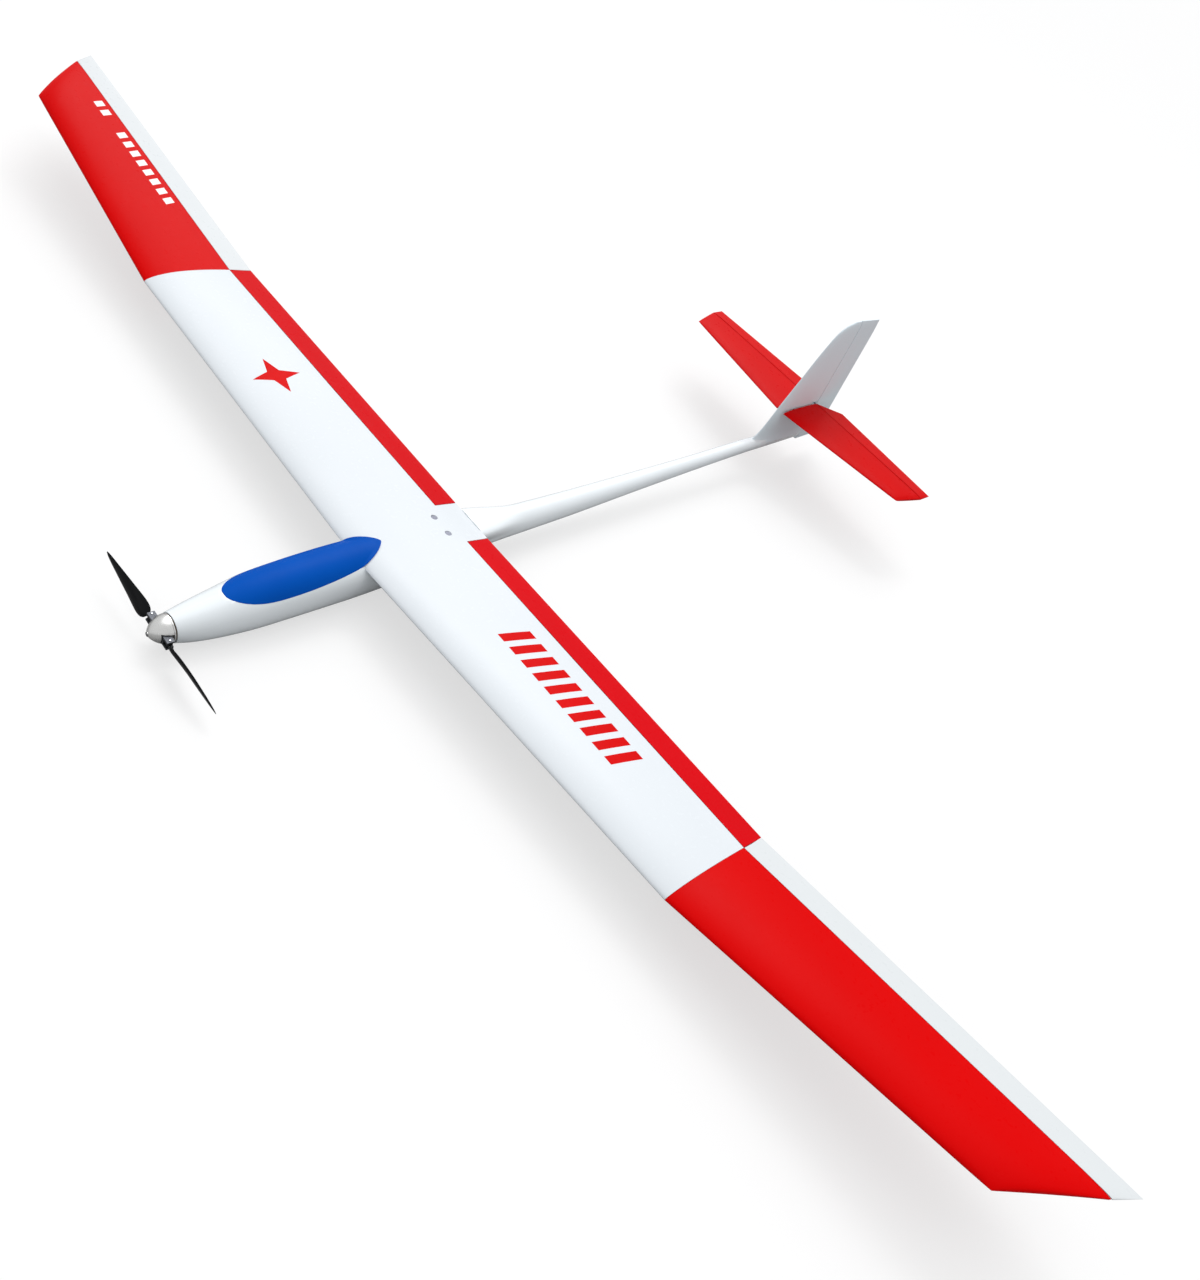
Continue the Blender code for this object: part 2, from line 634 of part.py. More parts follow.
for side, word in ((1, "left"), (-1, "right")):
    linkage("flap", side, word, wing_center, flaps[word], FLAP_ARM)
    linkage("aileron", side, word, tips[word], ailerons[word], AILERON_ARM)


# ---------------------------------------------------------------- tail
TAIL_U = [0.0, 0.02, 0.08, 0.2, 0.4, 0.7, 1.0]


def plane_ring(front, back, normal, halves, us):
    """A closed ring between two points, standing out by halves to both sides along the normal."""
    line = [front.lerp(back, u) for u in us]
    first = [p + normal * h for p, h in zip(line, halves)]
    second = [p - normal * h for p, h in zip(line, halves)]
    if halves[0] == 0.0:
        second = second[1:]
    return list(reversed(first)) + second


def fixed_halves(scale, thickness):
    return [h * scale for h in (0.0, 0.30 * thickness / 2, 0.60 * thickness / 2, 0.88 * thickness / 2,
                                thickness / 2, thickness / 2, 0.82 * thickness / 2)]


def moving_ring(front, back, normal, half, scale, edge=0.0005):
    """A wedge with a V-shaped front, its ridge on the hinge line."""
    length = (back - front).length
    nose = NOSE_SLOPE * half * scale / length
    us = [0.0, nose, 0.5, 1.0]
    halves = [0.0, half * scale, mix(half * scale, edge, 0.45), edge]
    return plane_ring(front, back, normal, halves, us)


UP = Vector((0.0, 0.0, 1.0))
OUT = Vector((1.0, 0.0, 0.0))

fin_slot_outline = [(0.744, -0.0125), (0.744, 0.0035), (0.830, 0.0400), (0.842, 0.0465), (0.880, 0.0465),
                    (0.880, -0.0125)]
fin_slot = place(prism_mesh("fin_slot", fin_slot_outline, -0.0022, 0.0022), "fin_slot")

# fin: (height, leading edge) with its hinge line upright, thinner towards the top
FIN_LINE = ((-0.006, 0.728, 1.0), (0.004, 0.738, 1.0), (0.014, 0.7455, 1.0), (0.030, 0.7525, 1.0),
            (0.0553, 0.7614, 0.97), (0.1044, 0.7807, 0.90), (0.1384, 0.7931, 0.84),
            (0.1720, 0.8085, 0.76), (0.1860, 0.8190, 0.66), (0.1945, 0.8330, 0.45), (0.1985, 0.8480, 0.18))
fin = place(loft_mesh("fin", [
    plane_ring(Vector((0, y, z)), Vector((0, RUDDER_HINGE_Y - HINGE_PLAY, z)), OUT,
               fixed_halves(k, FIN_THICKNESS), TAIL_U) for z, y, k in FIN_LINE]), "fin", WHITE)
BOOM_YS = (0.70, 0.72, 0.74, 0.77, 0.80, 0.82, 0.84, 0.8625)
boom_clearance = place(full_hull_mesh("boom_clearance", BOOM_YS, GAP), "boom_clearance")
boolean(fin, boom_clearance)
boolean(fin, fin_slot)
notch = box("joiner_notch", (-0.02, 0.8480, STAB_Z - 0.0040), (0.02, 0.880, STAB_Z + 0.0040))
boolean(fin, notch)


# rudder: (height, share of its full thickness)
RUDDER_ZS = ((RUDDER_BOTTOM_Z, 0.55), (-0.0225, 0.85), (-0.010, 1.0), (0.03, 1.0), (0.10, 0.90),
             (0.150, 0.82), (0.180, 0.72), (0.1890, 0.55), (RUDDER_TOP_Z, 0.25))


def rudder_edges(z):
    """Hinge and trailing edge points of the rudder; its top edge rises forward to meet the fin."""
    rise = RUDDER_TOP_RISE * max(0.0, (z - RUDDER_RISE_FROM) / (RUDDER_TOP_Z - RUDDER_RISE_FROM))**2
    if z > RUDDER_KINK[1]:
        back = mix(RUDDER_KINK[0], RUDDER_TOP_TE, (z - RUDDER_KINK[1]) / (RUDDER_TOP_Z - RUDDER_KINK[1]))
    else:
        back = mix(RUDDER_LOW_TE, RUDDER_KINK[0], max(z, 0.0) / RUDDER_KINK[1])
    return Vector((0.0, RUDDER_HINGE_Y, z + rise)), Vector((0.0, back, z))


rudder = place(loft_mesh("rudder", [moving_ring(*rudder_edges(z), OUT, FIN_THICKNESS * MOVING_HALF, k)
                                    for z, k in RUDDER_ZS]), "rudder", WHITE, (0.0, RUDDER_HINGE_Y, 0.0))
rudder_horn = place(prism_mesh("rudder_horn", [(-0.0025, 0.8660), (-0.0025, 0.8760), (-0.0175, 0.8655),
                                               (-0.0185, 0.8630), (-0.0150, 0.8620)], -0.0082, -0.0070, "Z"),
                    "rudder_horn")
boolean(rudder, rudder_horn, "UNION")

# stabilizer and elevator halves
STAB_STEPS = ((0.0, 1.0), (0.35, 1.0), (0.7, 0.98), (0.90, 0.9), (0.97, 0.75), (1.0, 0.35))


def stab_edges(s, side):
    """Front and hinge points of the stabilizer; its tip corner is cut off towards the hinge."""
    front = Vector((mix(STAB_ROOT_LE[0], STAB_TIP_LE[0], s), mix(STAB_ROOT_LE[1], STAB_TIP_LE[1], s), STAB_Z))
    back = Vector((mix(STAB_ROOT_LE[0], STAB_TIP_HINGE_X, s), ELEVATOR_HINGE_Y - HINGE_PLAY, STAB_Z))
    return [Vector((side * p.x, p.y, p.z)) for p in (front, back)]


def elevator_edges(s, side):
    front = Vector((mix(STAB_ROOT_LE[0], STAB_TIP_HINGE_X + GAP, s), ELEVATOR_HINGE_Y, STAB_Z))
    back = Vector((mix(ELEVATOR_KINK[0], ELEVATOR_TIP_TE[0], s),
                   mix(ELEVATOR_KINK[1], ELEVATOR_TIP_TE[1], s), STAB_Z))
    return [Vector((side * p.x, p.y, p.z)) for p in (front, back)]


def cross_rod(name, y, reach, radius, material=None, segments=12):
    """A rod from side to side at the height of the stabilizer."""
    return rod(name, (-reach, y, STAB_Z), (reach, y, STAB_Z), radius, material, segments)


STAB_ROD_Y, STAB_ROD_REACH, STAB_ROD_R = 0.8000, 0.060, 0.0015
ELEVATOR_ROD_Y, ELEVATOR_ROD_REACH, ELEVATOR_ROD_R = ELEVATOR_HINGE_Y + 0.0032, 0.024, 0.0010
joiner_hole = cross_rod("stab_joiner_hole", STAB_ROD_Y, STAB_ROD_REACH + GAP, STAB_ROD_R + GAP)
cross_rod("stabilizer_joiner", STAB_ROD_Y, STAB_ROD_REACH, STAB_ROD_R, CARBON)
boolean(fin, joiner_hole)
elevator_hole = cross_rod("elevator_hole", ELEVATOR_ROD_Y, ELEVATOR_ROD_REACH + GAP, ELEVATOR_ROD_R + GAP,
                          segments=10)
for side, word in ((1, "left"), (-1, "right")):
    rings = [plane_ring(*stab_edges(s, side), UP, fixed_halves(k, STAB_THICKNESS), TAIL_U)
             for s, k in STAB_STEPS]
    stab = place(loft_mesh(f"stabilizer_{word}", rings), f"stabilizer_{word}", RED)
    boolean(stab, joiner_hole)
    elevator = place(loft_mesh(f"elevator_{word}", [
        moving_ring(*elevator_edges(s, side), UP, STAB_THICKNESS * MOVING_HALF, k) for s, k in STAB_STEPS]),
        f"elevator_{word}", RED, (0.0, ELEVATOR_HINGE_Y, STAB_Z))
    boolean(elevator, elevator_hole)

elevator_joiner = cross_rod("elevator_joiner", ELEVATOR_ROD_Y, ELEVATOR_ROD_REACH, ELEVATOR_ROD_R, STEEL, 10)
elevator_horn = place(arm_mesh("elevator_horn", -0.0014, -0.0004, (ELEVATOR_ROD_Y, STAB_Z),
                               (ELEVATOR_HINGE_Y, STAB_Z - ELEVATOR_ARM), 0.0034), "elevator_horn")
boolean(elevator_joiner, elevator_horn, "UNION")

# ---------------------------------------------------------------- fuselage openings
canopy_ys = [CANOPY_FRONT_Y, -0.1590, -0.155, -0.149, -0.142, -0.133, -0.120, -0.104, -0.085, -0.065, -0.0445,
             -0.025, -0.010, 0.0005]


def canopy_cutter_ring(y):
    z = canopy_split_z(y)
    return [Vector((-0.05, y, z)), Vector((0.05, y, z)), Vector((0.05, y, 0.06)), Vector((-0.05, y, 0.06))]


canopy_opening = place(loft_mesh("canopy_opening", [canopy_cutter_ring(y) for y in
                                                    [CANOPY_FRONT_Y - 0.004] + canopy_ys[1:] + [0.004]],
                                 smooth_angle=None), "canopy_opening")
rudder_rod_slot = box("rudder_rod_slot", (-0.0150, 0.700, -0.0112), (-0.0042, 0.806, -0.0040))
for shell in (fuselage_left, fuselage_right):
    boolean(shell, canopy_opening)
    boolean(shell, saddle)
    boolean(shell, saddle_top)
    boolean(shell, fin_slot)
boolean(fuselage_right, rudder_rod_slot)


# ---------------------------------------------------------------- canopy
def canopy_reach(y):
    """Half angle of the canopy's outer arc and of its inner arc at this station."""
    half, top, middle = station_at(y)[:3]
    rise = top - middle
    if y <= 0.0:
        edge = canopy_split_z(y) + GAP - middle
        return acos(min(edge / rise, 0.9999)), acos(min(edge / (rise - CANOPY_SKIN), 0.9998))
    reach = TONGUE_REACH * (1 - min(y / CANOPY_REAR_Y, 1.0)**1.5)**0.75
    angle = asin(min(reach / half, 1.0))
    return angle, angle


def canopy_ring(y):
    """Outer arc and, back along it, the inner arc of the canopy's thin wall."""
    half, top, middle = station_at(y)[:3]
    outer_angle, inner_angle = canopy_reach(y)
    outer, inner = [], []
    for i in range(-CANOPY_STEPS, CANOPY_STEPS + 1):
        a, b = outer_angle * i / CANOPY_STEPS, inner_angle * i / CANOPY_STEPS
        out = Vector((half * sin(a), y, middle + (top - middle) * cos(a)))
        inn = Vector(((half - CANOPY_SKIN) * sin(b), y, middle + (top - middle - CANOPY_SKIN) * cos(b)))
        if y > -0.002:
            skin_top = section_point(*center_lines(out.x), min(max(y / ROOT_TE.y, 0.0), 1.0), True).z
            inn.z = max(inn.z, skin_top + GAP)
            out.z = max(out.z, inn.z + 0.0006)
        outer.append(out)
        inner.append(inn)
    return outer + list(reversed(inner))


tongue_ys = [0.004, 0.0095, 0.0165, 0.0235, 0.0295, 0.0335, 0.0355]
place(loft_mesh("canopy", [canopy_ring(y) for y in canopy_ys[1:-1] + tongue_ys], smooth_angle=50.0),
      "canopy", BLUE)

# ---------------------------------------------------------------- motor, spinner and propeller
NOSE = (0.0, -1.0, 0.0)


def along(y):
    return (0.0, y, SHAFT_Z)


turned("motor_bulkhead", [(0.0146, 0.0025), (0.0146, 0.0), (0.0052, 0.0), (0.0052, 0.0025)], along(-0.2140),
       NOSE, PLY)
SLEEVE_R = SHAFT_R + GAP
turned("motor_stator", [(0.0046, 0.0050), (0.0046, 0.0022), (0.0110, 0.0020), (0.0110, 0.0),
                        (0.0050, -0.0010), (0.0050, -0.0040), (0.0108, -0.0040), (0.0108, -0.0170),
                        (SLEEVE_R, -0.0170), (SLEEVE_R, 0.0050)], along(-0.2115), NOSE, COPPER)
turned("motor_bell", [(0.0, 0.0480), (SHAFT_R, 0.0475), (SHAFT_R, 0.0025), (0.0120, 0.0025),
                      (0.0120, 0.0180), (0.0138, 0.0180), (0.0138, 0.0008), (0.0130, 0.0), (0.0, 0.0)],
       along(-0.1915), NOSE, COPPER)
PLATE = 0.0014                    # thickness of the spinner's back plate
BASE = PLATE + GAP                # height of the cone's foot above the plate's back face
SCREW_CLEAR_R = 0.0026
turned("spinner_backplate", [(SPINNER_R, PLATE), (SPINNER_R, 0.0), (SCREW_CLEAR_R, 0.0),
                             (SCREW_CLEAR_R, PLATE)], along(SPINNER_BASE_Y), NOSE, SILVER)

nose_turn = Matrix.Rotation(PROP_TILT, 4, "Y")
CONE_STEPS = 8
spinner_profile = []
for i in range(CONE_STEPS + 1):
    t = i / CONE_STEPS
    spinner_profile.append((SPINNER_R * (1 - t**1.8)**0.68, BASE + (SPINNER_LENGTH - BASE) * t))
outer_wall = [(max(r, SCREW_CLEAR_R), h) for r, h in reversed(spinner_profile)]
inner_wall = [(max(r - 0.0011, SCREW_CLEAR_R), h - 0.0012 * (h - BASE) / SPINNER_LENGTH)
              for r, h in spinner_profile[:-1]]
inner_wall.append((SCREW_CLEAR_R, SPINNER_LENGTH - 0.0030))
spinner_cone = turned("spinner_cone", outer_wall + inner_wall, along(SPINNER_BASE_Y), NOSE, SILVER, 32)


def prop_frame():
    """Frame at the hub: x along the blades, y along the shaft, z along the blade pins."""
    return Matrix.Translation((0.0, BLADE_Y, SHAFT_Z)) @ nose_turn


hub = prop_frame()
slot_cut = place(box_mesh("spinner_slots", (-0.03, -0.0052, -0.0068), (0.03, 0.020, 0.0068)), "spinner_slots",
                 matrix=hub)
boolean(spinner_cone, slot_cut)
turned("spinner_screw", [(0.0, 0.0009), (0.0022, 0.0006), (0.0022, -0.0022), (0.0, -0.0022)],
       along(SPINNER_BASE_Y - SPINNER_LENGTH + 0.0006), NOSE, STEEL, 12)

yoke = place(box_mesh("prop_yoke", (-YOKE_REACH, -0.0042, -0.0056), (YOKE_REACH, 0.0042, 0.0056)),
             "prop_yoke", SILVER, matrix=hub)
yoke_boss = rod("yoke_boss", along(SPINNER_BASE_Y - BASE), along(BLADE_Y - 0.0075), 0.0056, segments=16)
boolean(yoke, yoke_boss, "UNION")
yoke_bore = rod("yoke_bore", along(BLADE_Y + 0.02), along(BLADE_Y - 0.02), SLEEVE_R, segments=16)
boolean(yoke, yoke_bore)


def blade_ring(r, chord, side):
    """Section of a blade at radius r in the hub frame, set at the angle that gives the pitch."""
    pitch = atan2(PROP_PITCH, 2 * pi * r)
    thick = chord * mix(0.24, 0.13, min(1.0, r / 0.06)) + 0.0022 * max(0.0, 1 - (r - BLADE_FROM) / 0.010)
    lead = Vector((0.0, -sin(pitch), cos(pitch)))
    lift = Vector((0.0, -cos(pitch), -sin(pitch)))
    centre = Vector((r, 0.0, 0.0)) + lift * 0.0002
    points = []
    for c, h in ((0.61, 0.0), (0.51, 0.55), (0.28, 1.0), (-0.04, 0.75), (-0.39, 0.0), (-0.04, -0.05),
                 (0.28, -0.15), (0.51, -0.2)):
        points.append(centre + lead * chord * c + lift * thick * h)
    if side < 0:
        points = [Matrix.Rotation(pi, 3, "Y") @ p for p in points]
    return points


# radius, chord
BLADE_STEPS = ((BLADE_FROM, 0.0052), (0.0222, 0.0056), (0.0242, 0.0100), (0.0268, 0.0144), (0.0310, 0.0180),
               (0.0370, 0.0196), (0.0450, 0.0194), (0.0580, 0.0176), (0.0740, 0.0146), (0.0880, 0.0114),
               (0.1020, 0.0078), (0.1105, 0.0046), (PROP_R, 0.0016))
for side, word in ((1, "left"), (-1, "right")):
    pin = Vector((side * PIN_X, 0.0, 0.0))
    near, far = sorted((side * FORK_FROM, side * 0.03))
    fork = place(box_mesh(f"fork_{word}", (near, -0.02, -EYE - GAP), (far, 0.02, EYE + GAP)), f"fork_{word}",
                 matrix=hub)
    boolean(yoke, fork)
    low, high = pin - UP * PIN_HALF, pin + UP * PIN_HALF
    beyond = UP * 0.002
    place(rod_mesh(f"blade_pin_{word}", low, high, PIN_R, 12), f"blade_pin_{word}", STEEL, matrix=hub)
    pin_hole = place(rod_mesh(f"pin_hole_{word}", low - beyond, high + beyond, PIN_R + GAP, 12),
                     f"pin_hole_{word}", matrix=hub)
    boolean(yoke, pin_hole)
    rings = [blade_ring(r, c, side) for r, c in BLADE_STEPS]
    blade = place(loft_mesh(f"blade_{word}", rings, smooth_angle=60.0), f"blade_{word}", BLACK, hub @ pin, hub)
    eye = place(rod_mesh(f"eye_{word}", pin - UP * EYE, pin + UP * EYE, EYE_R), f"eye_{word}", matrix=hub)
    boolean(blade, eye, "UNION")
    boolean(blade, pin_hole)

# ---------------------------------------------------------------- equipment in the pod
box("battery_tray", (-0.0098, -0.1500, -0.0526), (0.0098, 0.0440, -0.0510), PLY)
box("battery_pack", (-0.0155, -0.1500, -0.0490), (0.0155, -0.0500, -0.0265), WRAP, 0.0012)
strap = box("battery_strap", (-0.0164, -0.1060, -0.0499), (0.0164, -0.0900, -0.0256), BLACK)
boolean(strap, box("strap_inside", (-0.0158, -0.12, -0.0493), (0.0158, -0.08, -0.0262)))
box("speed_controller", (-0.0125, -0.0400, -0.0507), (0.0125, 0.0080, -0.0410), BLACK, 0.0008)
box("receiver", (-0.0105, 0.0150, -0.0507), (0.0105, 0.0450, -0.0370), BLACK, 0.0008)

tray = box("servo_tray", (-0.0235, 0.0520, -0.0310), (0.0235, 0.1010, -0.0290), PLY)
for side, word in ((1, "elevator"), (-1, "rudder")):
    centre = side * SERVO_X
    low, high = (centre - 0.0060, SERVO_Y - 0.0115, -0.0460), (centre + 0.0060, SERVO_Y + 0.0115, SERVO_TOP_Z)
    box(f"{word}_servo", low, high, BLACK)
    boolean(tray, box(f"{word}_servo_hole", [v - GAP for v in low], [v + GAP for v in high]))
    z = SERVO_TOP_Z + GAP
    out_y = SERVO_Y + 0.0060
    lever = [(centre - side * 0.0022, out_y - 0.0022), (centre - side * 0.0022, out_y + 0.0022),
             (centre + side * SERVO_ARM, out_y + 0.0016), (centre + side * (SERVO_ARM + 0.0012), out_y),
             (centre + side * SERVO_ARM, out_y - 0.0016)]
    place(prism_mesh(f"{word}_servo_arm", lever, z, z + 0.0012, "Z"), f"{word}_servo_arm", WHITE,
          (centre, out_y, z))

rod_x = SERVO_X + SERVO_ARM
rod_z = SERVO_TOP_Z + GAP + 0.0012 + GAP + 0.0008
wire("elevator_pushrod", [(rod_x, SERVO_Y + 0.0045, rod_z), (rod_x, 0.100, rod_z), (0.0060, 0.300, -0.0210),
                          (0.0045, 0.450, -0.0175), (0.0036, 0.620, -0.0120), (0.0018, 0.700, -0.0092),
                          (0.0006, 0.742, -0.0060), (0.0006, 0.800, 0.0142), (0.0006, 0.8450, 0.0315),
                          (0.0006, ELEVATOR_HINGE_Y + 0.0008, STAB_Z - ELEVATOR_ARM)], 0.0008, STEEL)
wire("rudder_pushrod", [(-rod_x, SERVO_Y + 0.0045, rod_z), (-rod_x, 0.100, rod_z), (-0.0060, 0.300, -0.0210),
                        (-0.0042, 0.450, -0.0175), (-0.0040, 0.620, -0.0120), (-0.0058, 0.700, -0.0088),
                        (-0.0090, 0.745, -0.0072), (-0.0135, 0.805, -0.0060), (-0.0166, 0.8640, -0.0060)],
     0.0008, STEEL)

BLOCK_Z = -0.0118                 # top of the block that takes the wing screws
HEAD_R, HEAD, NECK, STEM_R, STEM = 0.0040, 0.0016, 0.0032, 0.0020, 0.0300
screw_block = box("wing_screw_block", (-0.0205, 0.1130, BLOCK_Z - 0.0060), (0.0205, 0.1340, BLOCK_Z), PLY)
for side, word in ((1, "left"), (-1, "right")):
    x = side * SCREW_X
    top = section_point(*center_lines(x), SCREW_Y / ROOT_TE.y, True)
    head = (x, SCREW_Y, top.z - 0.0002)
    turned(f"wing_screw_{word}", [(0.0, 0.0), (HEAD_R, 0.0), (HEAD_R, -HEAD), (STEM_R, -NECK),
                                  (STEM_R, -STEM), (0.0, -STEM)], head, (0.0, 0.0, 1.0), STEEL, 16)
    wide, narrow, foot = HEAD_R + GAP, STEM_R + GAP, -STEM - 0.0030
    hole = turned(f"wing_screw_hole_{word}", [(0.0, 0.0100), (wide, 0.0100), (wide, -HEAD - GAP),
                                              (narrow, -NECK - GAP), (narrow, foot), (0.0, foot)],
                  head, (0.0, 0.0, 1.0), None, 16)
    boolean(wing_center, hole)
    boolean(screw_block, hole)
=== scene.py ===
"""Electric motor glider: smooth skins, trim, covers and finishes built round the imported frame."""

from math import acos, asin, atan2, cos, exp, pi, radians, sin, sqrt

import bmesh
import bpy
from mathutils import Matrix, Vector


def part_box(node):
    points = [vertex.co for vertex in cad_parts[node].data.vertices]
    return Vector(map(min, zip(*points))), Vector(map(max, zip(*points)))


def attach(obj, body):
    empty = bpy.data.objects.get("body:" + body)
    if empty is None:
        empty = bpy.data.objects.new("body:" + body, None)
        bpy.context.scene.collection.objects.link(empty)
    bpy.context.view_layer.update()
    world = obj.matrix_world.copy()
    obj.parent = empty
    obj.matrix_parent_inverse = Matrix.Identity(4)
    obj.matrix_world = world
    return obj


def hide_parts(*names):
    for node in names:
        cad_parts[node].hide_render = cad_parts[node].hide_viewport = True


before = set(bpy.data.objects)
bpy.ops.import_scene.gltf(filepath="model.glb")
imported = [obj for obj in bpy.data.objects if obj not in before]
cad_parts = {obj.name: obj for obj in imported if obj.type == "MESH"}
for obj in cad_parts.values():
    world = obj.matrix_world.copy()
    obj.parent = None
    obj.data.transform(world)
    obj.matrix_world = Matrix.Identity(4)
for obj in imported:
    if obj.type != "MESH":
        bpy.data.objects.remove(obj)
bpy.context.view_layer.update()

# ---------------- dimensions, metres
GAP = 0.0003
HINGE_LINE = 0.0005
TIP_CUT_BACK = 0.0012
SADDLE_PLAY = 0.0001
BELLY_Z = -0.0563
# The datum frame has its origin at the leading edge of the wing root.
DATUM = Vector((0.0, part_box("wing_center_panel")[0].y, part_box("fuselage_left_shell")[0].z - BELLY_Z))

ROOT_LE = Vector((0.0, 0.0, 0.0))
ROOT_HINGE_Y = 0.1416
ROOT_TE = Vector((0.0, 0.1755, 0.0))
BREAK_LE = Vector((0.5232, 0.0228, 0.0024))
BREAK_HINGE_Y = 0.1455
BREAK_TE = Vector((0.5232, 0.1790, 0.0024))
TIP_LE = Vector((0.9029, 0.0584, 0.0447))
TIP_HINGE = Vector((0.9790, 0.1490, 0.0538))
TIP_TE = Vector((1.0000, 0.1810, 0.0548))
WING_THICKNESS = 0.092
WING_CAMBER = 0.022
CAMBER_AT = 0.4
TE_THICKNESS = 0.0012
HINGE_FRACTION = 0.7855
FLAP_ROOT_X = 0.0331
DIHEDRAL = radians(6.3)
FLAP_BEVEL = (0.0025, 0.0042)
AILERON_BEVEL = (0.0018, 0.0022)
SCREW_X, SCREW_Y = 0.0145, 0.1262
SCREW_HEAD_R, SCREW_SHANK_R = 0.0040, 0.0020
SPAR_Y, SPAR_WIDTH, SPAR_HEIGHT = 0.060, 0.0040, 0.0070
SPAR_ROOT_Z, SPAR_RISE = 0.0040, 0.0032
JOINER_LENGTH, JOINER_SWEEP = 0.050, 0.04

STATIONS = (
    (-0.2190, 0.0170, -0.0142, -0.0312, -0.0478),
    (-0.2000, 0.0213, -0.0103, -0.0312, -0.0524),
    (-0.1700, 0.0262, -0.0044, -0.0302, -0.0557),
    (-0.1300, 0.0308, 0.0038, -0.0266, -0.0573),
    (-0.0850, 0.0322, 0.0082, -0.0241, -0.0573),
    (-0.0400, 0.0327, 0.0103, -0.0224, -0.0573),
    (0.0000, 0.0324, 0.0109, -0.0214, -0.0573),
    (0.0400, 0.0308, 0.0105, -0.0202, -0.0573),
    (0.0800, 0.0285, 0.0080, -0.0200, -0.0573),
    (0.1200, 0.0262, 0.0056, -0.0202, -0.0570),
    (0.1500, 0.0240, 0.0034, -0.0206, -0.0525),
    (0.1755, 0.0223, 0.0014, -0.0210, -0.0464),
    (0.2000, 0.0208, -0.0004, -0.0214, -0.0424),
    (0.2300, 0.0196, -0.0018, -0.0214, -0.0410),
    (0.2700, 0.0186, -0.0026, -0.0213, -0.0400),
    (0.3500, 0.0168, -0.0038, -0.0206, -0.0374),
    (0.4700, 0.0138, -0.0033, -0.0171, -0.0309),
    (0.6000, 0.0112, -0.0020, -0.0132, -0.0244),
    (0.7200, 0.0099, 0.0009, -0.0090, -0.0195),
    (0.7700, 0.0086, 0.0010, -0.0090, -0.0202),
    (0.8200, 0.0066, 0.0008, -0.0092, -0.0212),
    (0.8625, 0.0048, 0.0005, -0.0095, -0.0215),
)
SKIN = 0.0018
FAIRING_FROM, FAIRING_PEAK, FAIRING_TO = 0.110, 0.1755, 0.262
FAIRING_REACH, FAIRING_RISE = 0.0085, 0.0035
ROUND_STEPS = 36
CANOPY_FRONT_Y, CANOPY_LOW_Y, CANOPY_REAR_Y = -0.1615, -0.1130, 0.0365
CANOPY_FRONT_Z, CANOPY_LOW_Z, CANOPY_WING_Z = -0.0032, -0.0080, 0.0018
CANOPY_SKIN = 0.0012
CANOPY_STEPS = 28
TONGUE_REACH = 0.0222

SHAFT_Z = -0.0311
SPINNER_BASE_Y, SPINNER_R, SPINNER_LENGTH = -0.2206, 0.0163, 0.0237
BLADE_Y = -0.2295
PROP_TILT = radians(3.6)
PIN_X, PIN_R = 0.0190, 0.0011
EYE, EYE_R = 0.0028, 0.0036
BLADE_FROM = 0.0208
PROP_R = 0.1143
PROP_PITCH = 0.102

STAB_Z = 0.048
STAB_ROOT_LE = (0.0075, 0.7710)
STAB_TIP_LE = (0.2215, 0.8050)
ELEVATOR_HINGE_Y = 0.8545
ELEVATOR_TIP_TE = (0.2353, 0.8775)
ELEVATOR_KINK = (0.0397, 0.8890)
STAB_THICKNESS = 0.0075
RUDDER_HINGE_Y = 0.8630
RUDDER_BOTTOM_Z, RUDDER_TOP_Z = -0.0255, 0.1945
RUDDER_LOW_TE, RUDDER_TOP_TE = 0.9222, 0.9134
RUDDER_KINK = (0.9165, 0.170)
RUDDER_TOP_RISE = 0.0045
RUDDER_RISE_FROM = 0.10
FIN_THICKNESS = 0.0094
HINGE_PLAY = 0.0006
NOSE_SLOPE = 0.52
MOVING_HALF, MOVING_EDGE = 0.41, 0.0005
STAB_TIP_HINGE_X = 0.2345

FLAP_ARM, AILERON_ARM = 0.0155, 0.0130
FLAP_SERVO_X, AILERON_SERVO_X = 0.240, 0.690
SERVO_BACK = 0.052
SERVO_SIZE = (0.0112, 0.0230, 0.0088)
SERVO_FLOOR = {"flap": -0.0102, "aileron": -0.0090}   # heights in the linkage frames

UP = Vector((0.0, 0.0, 1.0))
OUT = Vector((1.0, 0.0, 0.0))
SIDES = ((1, "left"), (-1, "right"))


# ---------------- materials
def srgb(r, g, b):
    """Linear colour of a display colour given from 0 to 255."""
    def linear(v):
        v /= 255.0
        return v / 12.92 if v <= 0.04045 else ((v + 0.055) / 1.055) ** 2.4
    return linear(r), linear(g), linear(b)


